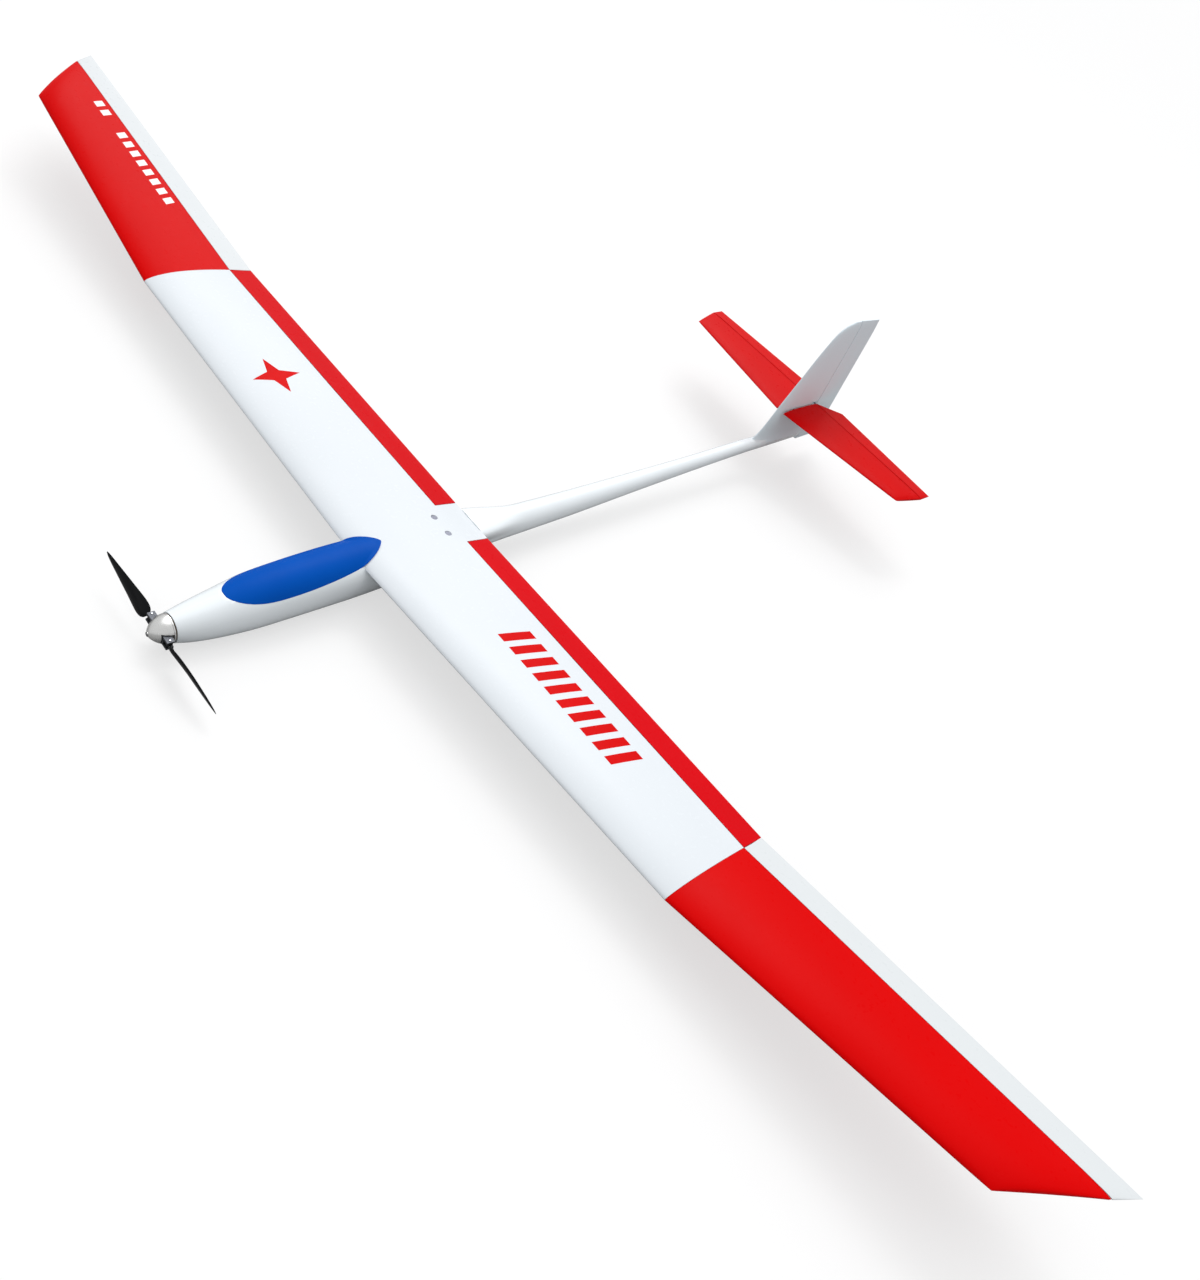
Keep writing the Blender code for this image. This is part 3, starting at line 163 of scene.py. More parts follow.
class Finish:
    """A principled material with small helpers for its nodes."""

    def __init__(self, name, colour, roughness, metallic=0.0, **sockets):
        self.mat = bpy.data.materials.new(name)
        self.mat.use_nodes = True
        self.tree = self.mat.node_tree
        self.shader = self.tree.nodes["Principled BSDF"]
        sockets.update(Base_Color=(*colour, 1.0), Roughness=roughness, Metallic=metallic)
        for key, value in sockets.items():
            self.shader.inputs[key.replace("_", " ")].default_value = value
        self.normal = None

    def node(self, kind, **values):
        made = self.tree.nodes.new(kind)
        for key, value in values.items():
            if key in made.inputs:
                made.inputs[key].default_value = value
            else:
                setattr(made, key, value)
        return made

    def link(self, a, b):
        self.tree.links.new(a, b)

    def place(self, scale=(1.0, 1.0, 1.0)):
        """Object coordinates, scaled."""
        coords = self.node("ShaderNodeTexCoord")
        mapping = self.node("ShaderNodeMapping", Scale=scale)
        self.link(coords.outputs["Object"], mapping.inputs["Vector"])
        return mapping.outputs["Vector"]

    def noise(self, scale, detail=3.0, stretch=(1.0, 1.0, 1.0), rough=0.5):
        made = self.node("ShaderNodeTexNoise", Scale=scale, Detail=detail, Roughness=rough)
        self.link(self.place(stretch), made.inputs["Vector"])
        return made.outputs["Fac"]

    def remap(self, value, to_low, to_high, low=0.3, high=0.7):
        """The value's range from low to high stretched to another; most noise lies in 0.3 to 0.7."""
        made = self.node("ShaderNodeMapRange")
        for key, number in (("From Min", low), ("From Max", high), ("To Min", to_low), ("To Max", to_high)):
            made.inputs[key].default_value = number
        self.link(value, made.inputs["Value"])
        return made.outputs["Result"]

    def math(self, operation, a, b=None):
        made = self.node("ShaderNodeMath", operation=operation)
        self.link(a, made.inputs[0])
        if b is not None:
            self.link(b, made.inputs[1])
        return made.outputs["Value"]

    def mixed(self, value, first, second, low=0.3, high=0.7):
        """Base colour that runs from first to second as the value runs from low to high."""
        ramp = self.node("ShaderNodeValToRGB")
        ramp.color_ramp.elements[0].color = (*first, 1.0)
        ramp.color_ramp.elements[1].color = (*second, 1.0)
        self.link(self.remap(value, 0.0, 1.0, low, high), ramp.inputs["Fac"])
        self.link(ramp.outputs["Color"], self.shader.inputs["Base Color"])

    def rough(self, value, smooth, coarse, low=0.3, high=0.7):
        self.link(self.remap(value, smooth, coarse, low, high), self.shader.inputs["Roughness"])

    def bump(self, height, distance):
        made = self.node("ShaderNodeBump", Distance=distance)
        self.link(height, made.inputs["Height"])
        if self.normal is not None:
            self.link(self.normal, made.inputs["Normal"])
        self.normal = made.outputs["Normal"]
        self.link(self.normal, self.shader.inputs["Normal"])


def shade(colour, factor):
    return tuple(min(1.0, c * factor) for c in colour)


def film(name, colour, darker, roughness, shine=0.14):
    """Ironed-on covering: taut, and faintly wavy along the span."""
    made = Finish(name, colour, roughness, Specular_IOR_Level=shine)
    made.mixed(made.noise(7.0, 2.0, (0.5, 1.0, 1.0)), darker, colour, 0.35, 0.65)
    made.rough(made.noise(160.0), roughness - 0.04, roughness + 0.05)
    made.bump(made.noise(9.0, 1.5, (0.35, 1.0, 1.0)), 0.00035)
    return made.mat


WHITE_FILM_RGB = (0.697, 0.735, 0.768)
white_film = film("white_film", WHITE_FILM_RGB, shade(WHITE_FILM_RGB, 0.97), 0.24)
aileron_film = film("aileron_white_film", (0.655, 0.683, 0.694), (0.640, 0.668, 0.684), 0.30)
red_film = film("red_film", (0.64, 0.0004, 0.0006), (0.60, 0.0004, 0.0006), 0.30, shine=0.03)
flap_film = film("flap_red_film", (0.61, 0.002, 0.006), (0.56, 0.002, 0.005), 0.30, shine=0.03)
stab_film = film("stabilizer_red_film", (0.60, 0.0006, 0.0010), (0.55, 0.0006, 0.0012), 0.30, shine=0.03)
# Fin and rudder film: a lighter, bluer copy of the wing's white film. This is painted light that brightens
# the fin's shaded side.
fin_film_painted_light = film("fin_white_film_painted_light", (0.78, 0.865, 0.915), (0.76, 0.845, 0.895), 0.34)


def gelcoat():
    """Moulded glass-fibre skin: deep gloss with a faint joint line down the middle."""
    colour = (0.845, 0.895, 0.925)
    made = Finish("fuselage_gelcoat", colour, 0.18, Coat_Weight=0.25, Coat_Roughness=0.06)
    made.mixed(made.noise(11.0, 2.0), shade(colour, 0.965), colour)
    made.rough(made.noise(90.0, 4.0), 0.13, 0.20)
    coords = made.node("ShaderNodeTexCoord")
    split = made.node("ShaderNodeSeparateXYZ")
    made.link(coords.outputs["Object"], split.inputs[0])
    line = made.remap(made.math("ABSOLUTE", split.outputs["X"]), 1.0, 0.0, 0.0, 0.00045)
    made.bump(line, 0.00010)
    made.bump(made.noise(14.0, 1.0), 0.00018)
    made.bump(made.noise(420.0, 2.0), 0.000006)
    return made.mat


def paint(name, colour, darker, roughness, shine=0.12):
    """Smooth lacquer or vinyl."""
    made = Finish(name, colour, roughness, Specular_IOR_Level=shine)
    made.mixed(made.noise(16.0, 2.0), darker, colour)
    made.rough(made.noise(120.0), roughness - 0.04, roughness + 0.05)
    made.bump(made.noise(700.0, 2.0), 0.000008)
    return made.mat


def plastic(name, colour, roughness):
    """Moulded plastic with a fine spark-eroded grain."""
    made = Finish(name, colour, roughness)
    made.mixed(made.noise(60.0), shade(colour, 0.86), colour)
    grain = made.noise(2600.0, 2.0)
    made.rough(grain, roughness - 0.06, roughness + 0.08)
    made.bump(grain, 0.00003)
    return made.mat


def metal(name, colour, roughness, turned=False, rings=900.0):
    """Metal with fine tool marks, which run round the Y axis where the piece is turned."""
    made = Finish(name, colour, roughness, 1.0)
    marks = made.noise(rings, 2.0, (0.02, 1.0, 0.02) if turned else (1.0, 1.0, 1.0))
    made.mixed(made.noise(45.0, 2.0), shade(colour, 0.88), colour)
    made.rough(marks, roughness - 0.08, roughness + 0.10, 0.25, 0.75)
    made.bump(marks, 0.00002)
    return made.mat


def blade_finish():
    """Moulded carbon-filled blade: near black and glossy with faint flow lines along the blade."""
    made = Finish("blade_black", srgb(4, 5, 7), 0.22, Specular_IOR_Level=0.16)
    flow = made.noise(300.0, 3.0, (0.12, 1.0, 1.0))
    made.mixed(flow, srgb(3, 4, 6), srgb(9, 10, 13))
    made.rough(flow, 0.17, 0.30)
    made.bump(flow, 0.00002)
    return made.mat


def weave(name, colour, other, scale, roughness, depth):
    """Two-over-two twill from crossed waves, for carbon and for strap fabric."""
    made = Finish(name, colour, roughness)
    threads = []
    for direction, width, waver in (("DIAGONAL", 1.0, 0.4), ("X", 1.4, 0.2)):
        wave = made.node("ShaderNodeTexWave", bands_direction=direction, Scale=scale * width,
                         Distortion=waver, Detail=1.0)
        made.link(made.place(), wave.inputs["Vector"])
        threads.append(wave.outputs["Fac"])
    cross = made.math("MULTIPLY", *threads)
    made.mixed(cross, other, colour, 0.0, 1.0)
    made.rough(cross, roughness - 0.08, roughness + 0.12, 0.0, 1.0)
    made.bump(cross, depth)
    return made.mat


def ply():
    """Thin birch plywood: long grain streaks and small flecks."""
    made = Finish("birch_plywood", srgb(205, 172, 124), 0.55)
    grain = made.noise(240.0, 5.0, (1.0, 0.06, 1.0), 0.6)
    made.mixed(grain, srgb(178, 140, 92), srgb(219, 190, 146))
    made.rough(grain, 0.48, 0.64)
    made.bump(grain, 0.00008)
    return made.mat


gel = gelcoat()
canopy_paint = paint("canopy_blue", (0.0002, 0.080, 0.440), (0.0001, 0.073, 0.410), 0.40, 0.03)
spinner_metal = metal("spinner_aluminium", srgb(232, 232, 230), 0.30, True, 1500.0)
rod_metal = metal("rod_sleeve_steel", srgb(176, 178, 183), 0.36)
yoke_metal = metal("yoke_dark_anodised", srgb(92, 94, 99), 0.50)
steel = metal("steel_wire", srgb(150, 152, 156), 0.30)
screw_steel = metal("screw_steel", srgb(104, 106, 116), 0.42)
motor_metal = metal("motor_case", srgb(62, 64, 70), 0.34, True, 1200.0)
blade_black = blade_finish()
carbon = weave("carbon_tow", srgb(34, 35, 38), srgb(10, 10, 12), 900.0, 0.34, 0.00004)
strap_weave = weave("strap_nylon", srgb(30, 30, 33), srgb(8, 8, 9), 1400.0, 0.72, 0.00012)
plywood = ply()
white_plastic = plastic("white_nylon", srgb(236, 237, 233), 0.36)
black_plastic = plastic("black_nylon", srgb(24, 24, 27), 0.42)
cover_plastic = plastic("cover_white_plastic", srgb(238, 241, 243), 0.34)
battery_wrap = paint("battery_shrink_wrap", srgb(32, 58, 128), srgb(26, 48, 110), 0.30)
decal_red = paint("decal_red_vinyl", (0.64, 0.0008, 0.0014), (0.60, 0.0008, 0.0014), 0.34, 0.03)
decal_white = paint("decal_white_vinyl", (0.84, 0.83, 0.81), (0.80, 0.79, 0.79), 0.30)


# ---------------- mesh helpers
def mesh_from(bm, name, angle):
    """The finished bmesh with its faces turned outwards, and creased above the angle in degrees."""
    bmesh.ops.recalc_face_normals(bm, faces=bm.faces)
    if bm.calc_volume(signed=True) < 0.0:
        bmesh.ops.reverse_faces(bm, faces=bm.faces)
    mesh = bpy.data.meshes.new(name)
    bm.to_mesh(mesh)
    bm.free()
    if angle is not None:
        mesh.shade_smooth()
        mesh.set_sharp_from_angle(angle=radians(angle))
    return mesh


def loft(name, rings, angle=32.0, wrapped=False):
    """Skin over closed rings: capped at both ends, or wrapped from the last to the first."""
    bm = bmesh.new()
    rows = [[bm.verts.new(point) for point in ring] for ring in rings]
    for low, high in zip(rows, rows[1:] + rows[:wrapped]):
        for i in range(len(low)):
            j = (i + 1) % len(low)
            bm.faces.new((low[i], low[j], high[j], high[i]))
    if not wrapped:
        bm.faces.new(rows[0])
        bm.faces.new(rows[-1])
    return mesh_from(bm, name, angle)


def prism(name, outline, low, high, axis="X"):
    def point(level, pair):
        a, b = pair
        return {"X": (level, a, b), "Y": (a, level, b), "Z": (a, b, level)}[axis]
    return loft(name, [[point(level, pair) for pair in outline] for level in (low, high)], None)


def slab(name, low, high):
    return prism(name, [(low[0], low[1]), (high[0], low[1]), (high[0], high[1]), (low[0], high[1])],
                 low[2], high[2], "Z")


def tube(name, start, end, radius, segments, ends=((0.0, 1.0), (1.0, 1.0))):
    """A rod from start to end; ends is a list of (share of the length, share of the radius)."""
    start = Vector(start)
    way = Vector(end) - start
    side = way.orthogonal().normalized()
    other = way.cross(side).normalized()
    rings = []
    for share, width in ends:
        centre = start + way * share
        rings.append([centre + (side * cos(2 * pi * i / segments) + other * sin(2 * pi * i / segments))
                      * radius * width for i in range(segments)])
    return loft(name, rings, 35.0)


def revolve(name, profile, centre, segments):
    """A closed profile of (radius, distance ahead of centre) turned about the shaft line."""
    rings = []
    for i in range(segments):
        a = 2 * pi * i / segments
        rings.append([centre + Vector((r * cos(a), -h, r * sin(a))) for r, h in profile])
    return loft(name, rings, wrapped=True)


def linked(name, data):
    obj = bpy.data.objects.new(name, data)
    bpy.context.scene.collection.objects.link(obj)
    return obj


def carved(mesh, tools, angle=32.0, operation="DIFFERENCE"):
    """The mesh with each tool mesh taken from it, or joined to it."""
    body = linked("body", mesh)
    others = [linked("tool", tool) for tool in tools]
    for other in others:
        step = body.modifiers.new("cut", "BOOLEAN")
        step.object = other
        step.operation = operation
        step.solver = "MANIFOLD"
    graph = bpy.context.evaluated_depsgraph_get()
    result = bpy.data.meshes.new_from_object(body.evaluated_get(graph))
    for helper in [body] + others:
        bpy.data.meshes.remove(helper.data)
    result.shade_smooth()
    result.set_sharp_from_angle(angle=radians(angle))
    return result


def softened(obj, width):
    bevel = obj.modifiers.new("edges", "BEVEL")
    bevel.width = width
    bevel.segments = 2
    bevel.limit_method = "ANGLE"
    bevel.angle_limit = radians(40.0)


def piece(mesh, name, material, body, stands_for=(), matrix=None):
    """Links a finished mesh, given in the datum frame, and lets it ride on a CAD body."""
    if matrix is not None:
        mesh.transform(matrix)
    mesh.transform(Matrix.Translation(DATUM))
    obj = linked(name, mesh)
    mesh.materials.clear()
    mesh.materials.append(material)
    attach(obj, body)
    if stands_for:
        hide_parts(*stands_for)
    return obj


def mix(a, b, t):
    return a + (b - a) * t


def curve_through(rows, t):
    """Rows of numbers whose first is the parameter, taken smoothly between them."""
    i = 0
    while i < len(rows) - 2 and t > rows[i + 1][0]:
        i += 1
    before, a, b, after = rows[max(i - 1, 0)], rows[i], rows[i + 1], rows[min(i + 2, len(rows) - 1)]
    span = b[0] - a[0]
    s = min(max((t - a[0]) / span, 0.0), 1.0)
    values = []
    for k in range(1, len(a)):
        slope_a = (b[k] - before[k]) / (b[0] - before[0]) * span
        slope_b = (after[k] - a[k]) / (after[0] - a[0]) * span
        values.append((2 * s**3 - 3 * s**2 + 1) * a[k] + (s**3 - 2 * s**2 + s) * slope_a
                      + (3 * s**2 - 2 * s**3) * b[k] + (s**3 - s**2) * slope_b)
    return values


# ---------------- fuselage skin
def fairing_at(y):
    if y <= FAIRING_FROM or y >= FAIRING_TO:
        return 0.0
    if y < FAIRING_PEAK:
        t = (y - FAIRING_FROM) / (FAIRING_PEAK - FAIRING_FROM)
    else:
        t = (FAIRING_TO - y) / (FAIRING_TO - FAIRING_PEAK)
    return t * t * (3 - 2 * t)


def hull_point(y, angle, grow=0.0):
    half, top, middle, bottom = curve_through(STATIONS, y)
    rise = (top - middle) if angle > 0 else (middle - bottom)
    x = (half + grow) * cos(angle)
    z = middle + (rise + grow) * sin(angle)
    share = fairing_at(y) * max(0.0, sin(2 * angle)) ** 1.5 if angle > 0 else 0.0
    x += FAIRING_REACH * share
    z += FAIRING_RISE * share
    return Vector((x, y, max(z, BELLY_Z - grow)))


def stretch(first, last, step):
    """Even steps from first up to last, which is left out."""
    count = max(1, round((last - first) / step))
    return [first + (last - first) * i / count for i in range(count)]


def eased(first, last, count):
    """Numbers from first to last that close up towards the last."""
    return [first + (last - first) * sin(pi / 2 * i / count) for i in range(count + 1)]


tail_ys = stretch(0.70, 0.8625, 0.006) + [0.8625]
hull_ys = stretch(-0.2190, -0.1990, 0.002) + stretch(-0.1990, 0.100, 0.0055)
hull_ys += stretch(0.100, 0.265, 0.004) + stretch(0.265, 0.70, 0.012) + tail_ys


def hull_ring(y, grow=0.0):
    right = [hull_point(y, -pi / 2 + pi * i / ROUND_STEPS, grow) for i in range(ROUND_STEPS + 1)]
    ring = [(p.x, y, p.z) for p in right[1:-1]]
    mirrored = [(-x, y, z) for x, y, z in reversed(ring)]
    return [(0.0, y, right[0].z)] + ring + [(0.0, y, right[-1].z)] + mirrored


def canopy_split_z(y):
    if y < CANOPY_LOW_Y:
        share = ((CANOPY_LOW_Y - y) / (CANOPY_LOW_Y - CANOPY_FRONT_Y)) ** 2
        return mix(CANOPY_LOW_Z, CANOPY_FRONT_Z, share)
    share = max(0.0, min(1.0, 1 - y / CANOPY_LOW_Y)) ** 1.6
    return mix(CANOPY_LOW_Z, CANOPY_WING_Z, share)


def airfoil(u):
    half = 5 * WING_THICKNESS * (0.2969 * sqrt(u) - 0.1260 * u - 0.3516 * u**2 + 0.2843 * u**3
                                 - 0.1036 * u**4)
    if u < CAMBER_AT:
        line = WING_CAMBER / CAMBER_AT**2 * (2 * CAMBER_AT * u - u * u)
    else:
        line = WING_CAMBER / (1 - CAMBER_AT)**2 * (1 - 2 * CAMBER_AT + 2 * CAMBER_AT * u - u * u)
    return line + half, line - half


def section_point(le, hinge, te, u, upper, scale=1.0, extra=0.0):
    chord = (hinge - le).length + (te - hinge).length
    if u <= HINGE_FRACTION:
        base = le.lerp(hinge, u / HINGE_FRACTION)
    else:
        base = hinge.lerp(te, (u - HINGE_FRACTION) / (1 - HINGE_FRACTION))
    high, low = airfoil(u)
    middle, half = (high + low) / 2 * chord, (high - low) / 2 * chord * scale
    half = max(half, TE_THICKNESS / 2 * scale) + extra
    return base + Vector((0.0, 0.0, middle + (half if upper else -half)))


NOSE_STEPS = 34
REAR_US = [0.83, 0.87, 0.91, 0.95, 0.98, 1.0]   # chord fractions behind the hinge


def nose_us(last):
    """Chord fractions from the nose to last, close together at the nose."""
    return [last * (1 - cos(pi / 2 * i / NOSE_STEPS)) for i in range(1, NOSE_STEPS + 1)]


def nose_ring(le, hinge, te, bevel, scale=1.0):
    """Section of a panel from its nose to the hinge, open below for the control's bevel."""
    chord = (te - le).length
    rear_top = HINGE_FRACTION - GAP / 2 / chord
    rear_low = HINGE_FRACTION - bevel / chord
    upper = [section_point(le, hinge, te, u, True, scale) for u in nose_us(rear_top)]
    lower = [section_point(le, hinge, te, u, False, scale) for u in nose_us(rear_low)]
    return list(reversed(upper)) + [section_point(le, hinge, te, 0.0, True, scale)] + lower


def tail_ring(le, hinge, te, bevel, scale=1.0):
    """Section of a flap or aileron, cut back a little more where the tip is rounded off."""
    chord = (te - le).length
    front_top = HINGE_FRACTION + (HINGE_LINE + TIP_CUT_BACK * (1 - scale)) / chord
    front_low = HINGE_FRACTION + bevel / chord
    upper = [section_point(le, hinge, te, u, True, scale) for u in [front_top] + REAR_US]
    lower = [section_point(le, hinge, te, u, False, scale) for u in [front_low] + REAR_US]
    return upper + list(reversed(lower))


def full_ring(le, hinge, te, extra=0.0):
    us = nose_us(HINGE_FRACTION) + REAR_US
    upper = [section_point(le, hinge, te, u, True, 1.0, extra) for u in us]
    lower = [section_point(le, hinge, te, u, False, 1.0, extra) for u in us]
    back = Vector((0.0, extra, 0.0))
    upper[-1] += back
    lower[-1] += back
    nose = section_point(le, hinge, te, 0.0, True) - back
    return list(reversed(upper)) + [nose] + lower


def center_lines(x):
    t = abs(x) / BREAK_LE.x
    le = Vector((x, mix(ROOT_LE.y, BREAK_LE.y, t), mix(ROOT_LE.z, BREAK_LE.z, t)))
    te = Vector((x, mix(ROOT_TE.y, BREAK_TE.y, t), mix(ROOT_TE.z, BREAK_TE.z, t)))
    hinge = Vector((x, mix(ROOT_HINGE_Y, BREAK_HINGE_Y, t), mix(le.z, te.z, HINGE_FRACTION)))
    return le, hinge, te


BREAK_HINGE = center_lines(BREAK_LE.x)[1]


def tip_lines(s, side):
    le = BREAK_LE.lerp(TIP_LE, s)
    hinge = BREAK_HINGE.lerp(TIP_HINGE, s)
    te = BREAK_TE.lerp(TIP_TE, s)
    return tuple(Vector((side * p.x, p.y, p.z)) for p in (le, hinge, te))


def tip_share(x):
    """Share of an outer panel's span at x on the hinge line."""
    return (abs(x) - BREAK_LE.x) / (TIP_HINGE.x - BREAK_LE.x)


def skin_at(lines, y, upper):
    """Point of the skin above or below y, forward of the hinge."""
    le, hinge, te = lines
    return section_point(le, hinge, te, HINGE_FRACTION * (y - le.y) / (hinge.y - le.y), upper)


def tip_scale(s):
    """Share of the full thickness: whole as far as 0.90 and then rounded off to the tip."""
    return 1.0 if s < 0.90 else 0.20 + 0.80 * sqrt(max(0.0, 1 - ((s - 0.90) / 0.10) ** 2))


TIP_STEPS = [0.0, 0.15, 0.3, 0.45, 0.6, 0.75, 0.85] + eased(0.90, 1.00, 12)
ROOT_INSET = GAP / 2 / (TIP_LE.x - BREAK_LE.x)


def opening_ring(y):
    z = canopy_split_z(y)
    return [(-0.05, y, z), (0.05, y, z), (0.05, y, 0.06), (-0.05, y, 0.06)]


def fin_channel():
    """The slot in the boom and the fin that the elevator pushrod runs up."""
    outline = [(0.744, -0.0125), (0.744, 0.0035), (0.830, 0.0400), (0.842, 0.0465), (0.880, 0.0465),
               (0.880, -0.0125)]
    return prism("fin_channel", outline, -0.0022, 0.0022)


saddle = loft("saddle", [full_ring(*center_lines(x), SADDLE_PLAY) for x in (-0.06, 0.0, 0.06)], None)
saddle_top = prism("saddle_top", [(0.0005, 0.002), (0.0005, 0.04), (ROOT_TE.y + SADDLE_PLAY, 0.04),
                                  (ROOT_TE.y + SADDLE_PLAY, 0.0)], -0.06, 0.06)
cut_ys = [CANOPY_FRONT_Y - 0.004] + stretch(CANOPY_FRONT_Y + 0.0005, 0.0005, 0.004) + [0.0005, 0.004]
canopy_opening = loft("opening", [opening_ring(y) for y in cut_ys], None)
rod_slot = slab("rod_slot", (-0.0150, 0.700, -0.0112), (-0.0042, 0.806, -0.0040))

hull_outer = loft("fuselage_skin", [hull_ring(y) for y in hull_ys])
hull_inner = loft("hull_inside", [hull_ring(y, -SKIN) for y in [-0.2205] + hull_ys[1:-1] + [0.8650]])
hull_mesh = carved(hull_outer, [hull_inner, canopy_opening, saddle, saddle_top, fin_channel(), rod_slot])
piece(hull_mesh, "fuselage_skin", gel, "airframe",
      ("fuselage_left_shell", "fuselage_right_shell"))


# ---------------- canopy
def canopy_reach(y):
    half, top, middle = curve_through(STATIONS, y)[:3]
    rise = top - middle
    if y <= 0.0:
        edge = canopy_split_z(y) + GAP - middle
        return acos(min(edge / rise, 0.9999)), acos(min(edge / (rise - CANOPY_SKIN), 0.9998))
    reach = TONGUE_REACH * (1 - min(y / CANOPY_REAR_Y, 1.0) ** 1.5) ** 0.75
    angle = asin(min(reach / half, 1.0))
    return angle, angle


def canopy_ring(y):
    half, top, middle = curve_through(STATIONS, y)[:3]
    outer_angle, inner_angle = canopy_reach(y)
    outer, inner = [], []
    for i in range(-CANOPY_STEPS, CANOPY_STEPS + 1):
        a, b = outer_angle * i / CANOPY_STEPS, inner_angle * i / CANOPY_STEPS
        out = Vector((half * sin(a), y, middle + (top - middle) * cos(a)))
        inn = Vector(((half - CANOPY_SKIN) * sin(b), y, middle + (top - middle - CANOPY_SKIN) * cos(b)))
        if y > -0.002:
            skin_top = section_point(*center_lines(out.x), min(max(y / ROOT_TE.y, 0.0), 1.0), True).z
            inn.z = max(inn.z, skin_top + GAP)
            out.z = max(out.z, inn.z + 0.0006)
        outer.append(out)
        inner.append(inn)
    return outer + list(reversed(inner))


front_ys = [CANOPY_FRONT_Y + 0.0025 * (i / 4) ** 2 for i in range(1, 5)]
tongue_ys = eased(0.0, CANOPY_REAR_Y, 28)[1:-2]
canopy_ys = front_ys + stretch(CANOPY_FRONT_Y + 0.0045, -0.004, 0.004) + [-0.004, 0.0] + tongue_ys
canopy_mesh = loft("canopy_shell", [canopy_ring(y) for y in canopy_ys], 42.0)
piece(canopy_mesh, "canopy_shell", canopy_paint, "canopy", ("canopy",))


# ---------------- wing
def linkage_frame(kind, side):
    """Frame of a wing servo's linkage: on the upper skin over the hinge, and level with the panel."""
    if kind == "flap":
        lines, tilt = center_lines(side * FLAP_SERVO_X), 0.0
    else:
        lines, tilt = tip_lines(tip_share(AILERON_SERVO_X), side), DIHEDRAL
    origin = section_point(*lines, HINGE_FRACTION, True)
    return Matrix.Translation(origin) @ Matrix.Rotation(-side * tilt, 4, "Y")


def servo_bay(kind):
    """Lowest and highest corner of a wing servo's pocket, in the linkage frame."""
    middle, half = -SERVO_BACK - 0.004, SERVO_SIZE[1] / 2 + GAP
    low = (-SERVO_SIZE[0] - 0.001 - GAP, middle - half, -0.05)
    high = (0.0046, middle + half, SERVO_FLOOR[kind] + SERVO_SIZE[2] + GAP)
    return low, high


def moved(mesh, matrix):
    mesh.transform(matrix)
    return mesh


def bay_ring(x):
    le, hinge, te = center_lines(x)
    chord = (te - le).length
    top = section_point(le, hinge, te, HINGE_FRACTION - GAP / 2 / chord, True)
    low = section_point(le, hinge, te, HINGE_FRACTION - FLAP_BEVEL[0] / chord, False)
    slope = (top - low) / (top.z - low.z)
    reach = 0.03
    return [top + slope * reach, low - slope * reach, Vector((x, 0.25, -reach)), Vector((x, 0.25, reach))]


def spar_point(x):
    beyond = max(0.0, abs(x) - BREAK_LE.x)
    z = SPAR_ROOT_Z + min(abs(x), BREAK_LE.x) * SPAR_RISE + beyond * sin(DIHEDRAL) / cos(DIHEDRAL)
    return Vector((x, SPAR_Y + beyond * JOINER_SWEEP, z))


def bar(name, xs, grow=0.0):
    wide, tall = SPAR_WIDTH / 2 + grow, SPAR_HEIGHT / 2 + grow
    corners = [Vector((0, a * wide, b * tall)) for a, b in ((-1, -1), (1, -1), (1, 1), (-1, 1))]
    return loft(name, [[spar_point(x) + corner for corner in corners] for x in xs], None)


def screw_hole(side):
    """Cutters for a wing screw's sunk head and its shank."""
    x = side * SCREW_X
    top = section_point(*center_lines(x), SCREW_Y / ROOT_TE.y, True).z - 0.0002
    return [tube("hole", (x, SCREW_Y, top + 0.01), (x, SCREW_Y, top - 0.0016 - GAP), SCREW_HEAD_R + GAP, 32),
            tube("hole", (x, SCREW_Y, top), (x, SCREW_Y, top - 0.0330), SCREW_SHANK_R + GAP, 20)]


JOINT_X = BREAK_LE.x
center_xs = [-JOINT_X + GAP / 2, -0.40, -0.26, -0.13, -FLAP_ROOT_X, 0.0, FLAP_ROOT_X, 0.13, 0.26, 0.40,
             JOINT_X - GAP / 2]
center_cuts = [bar("channel", (-JOINT_X - 0.001, -JOINT_X, 0.0, JOINT_X, JOINT_X + 0.001), GAP)]
for side, word in SIDES:
    center_cuts.append(loft("bay", [bay_ring(side * (FLAP_ROOT_X - GAP)), bay_ring(side * 0.56)], None))
    center_cuts.append(moved(slab("pocket", *servo_bay("flap")), linkage_frame("flap", side)))
    center_cuts += screw_hole(side)
center_mesh = loft("wing_center_covering", [full_ring(*center_lines(x)) for x in center_xs])
piece(carved(center_mesh, center_cuts), "wing_center_covering", white_film, "airframe",
      ("wing_center_panel",))


def horn_mesh(name, x0, x1, pivot, tip, width):
    """A tapered horn between two (y, z) points, with a round tip and small holes along it."""
    (py, pz), (ty, tz) = pivot, tip
    way = Vector((ty - py, tz - pz))
    length = way.length
    way.normalize()
    across = Vector((-way.y, way.x))
    base, end = width / 2, width * 0.38
    outline = [Vector(pivot) - across * base, Vector(pivot) + across * base]
    for i in range(9):
        a = pi / 2 - pi * i / 8
        outline.append(Vector(tip) + across * end * sin(a) + way * end * cos(a))
    mesh = prism(name, [tuple(p) for p in outline], x0, x1)
    holes = []
    for share in (0.55, 0.78):
        c = Vector(pivot) + way * length * share
        holes.append(tube("hole", (x0 - 0.001, c.x, c.y), (x1 + 0.001, c.x, c.y), 0.00045, 12))
    return carved(mesh, holes, 30.0)


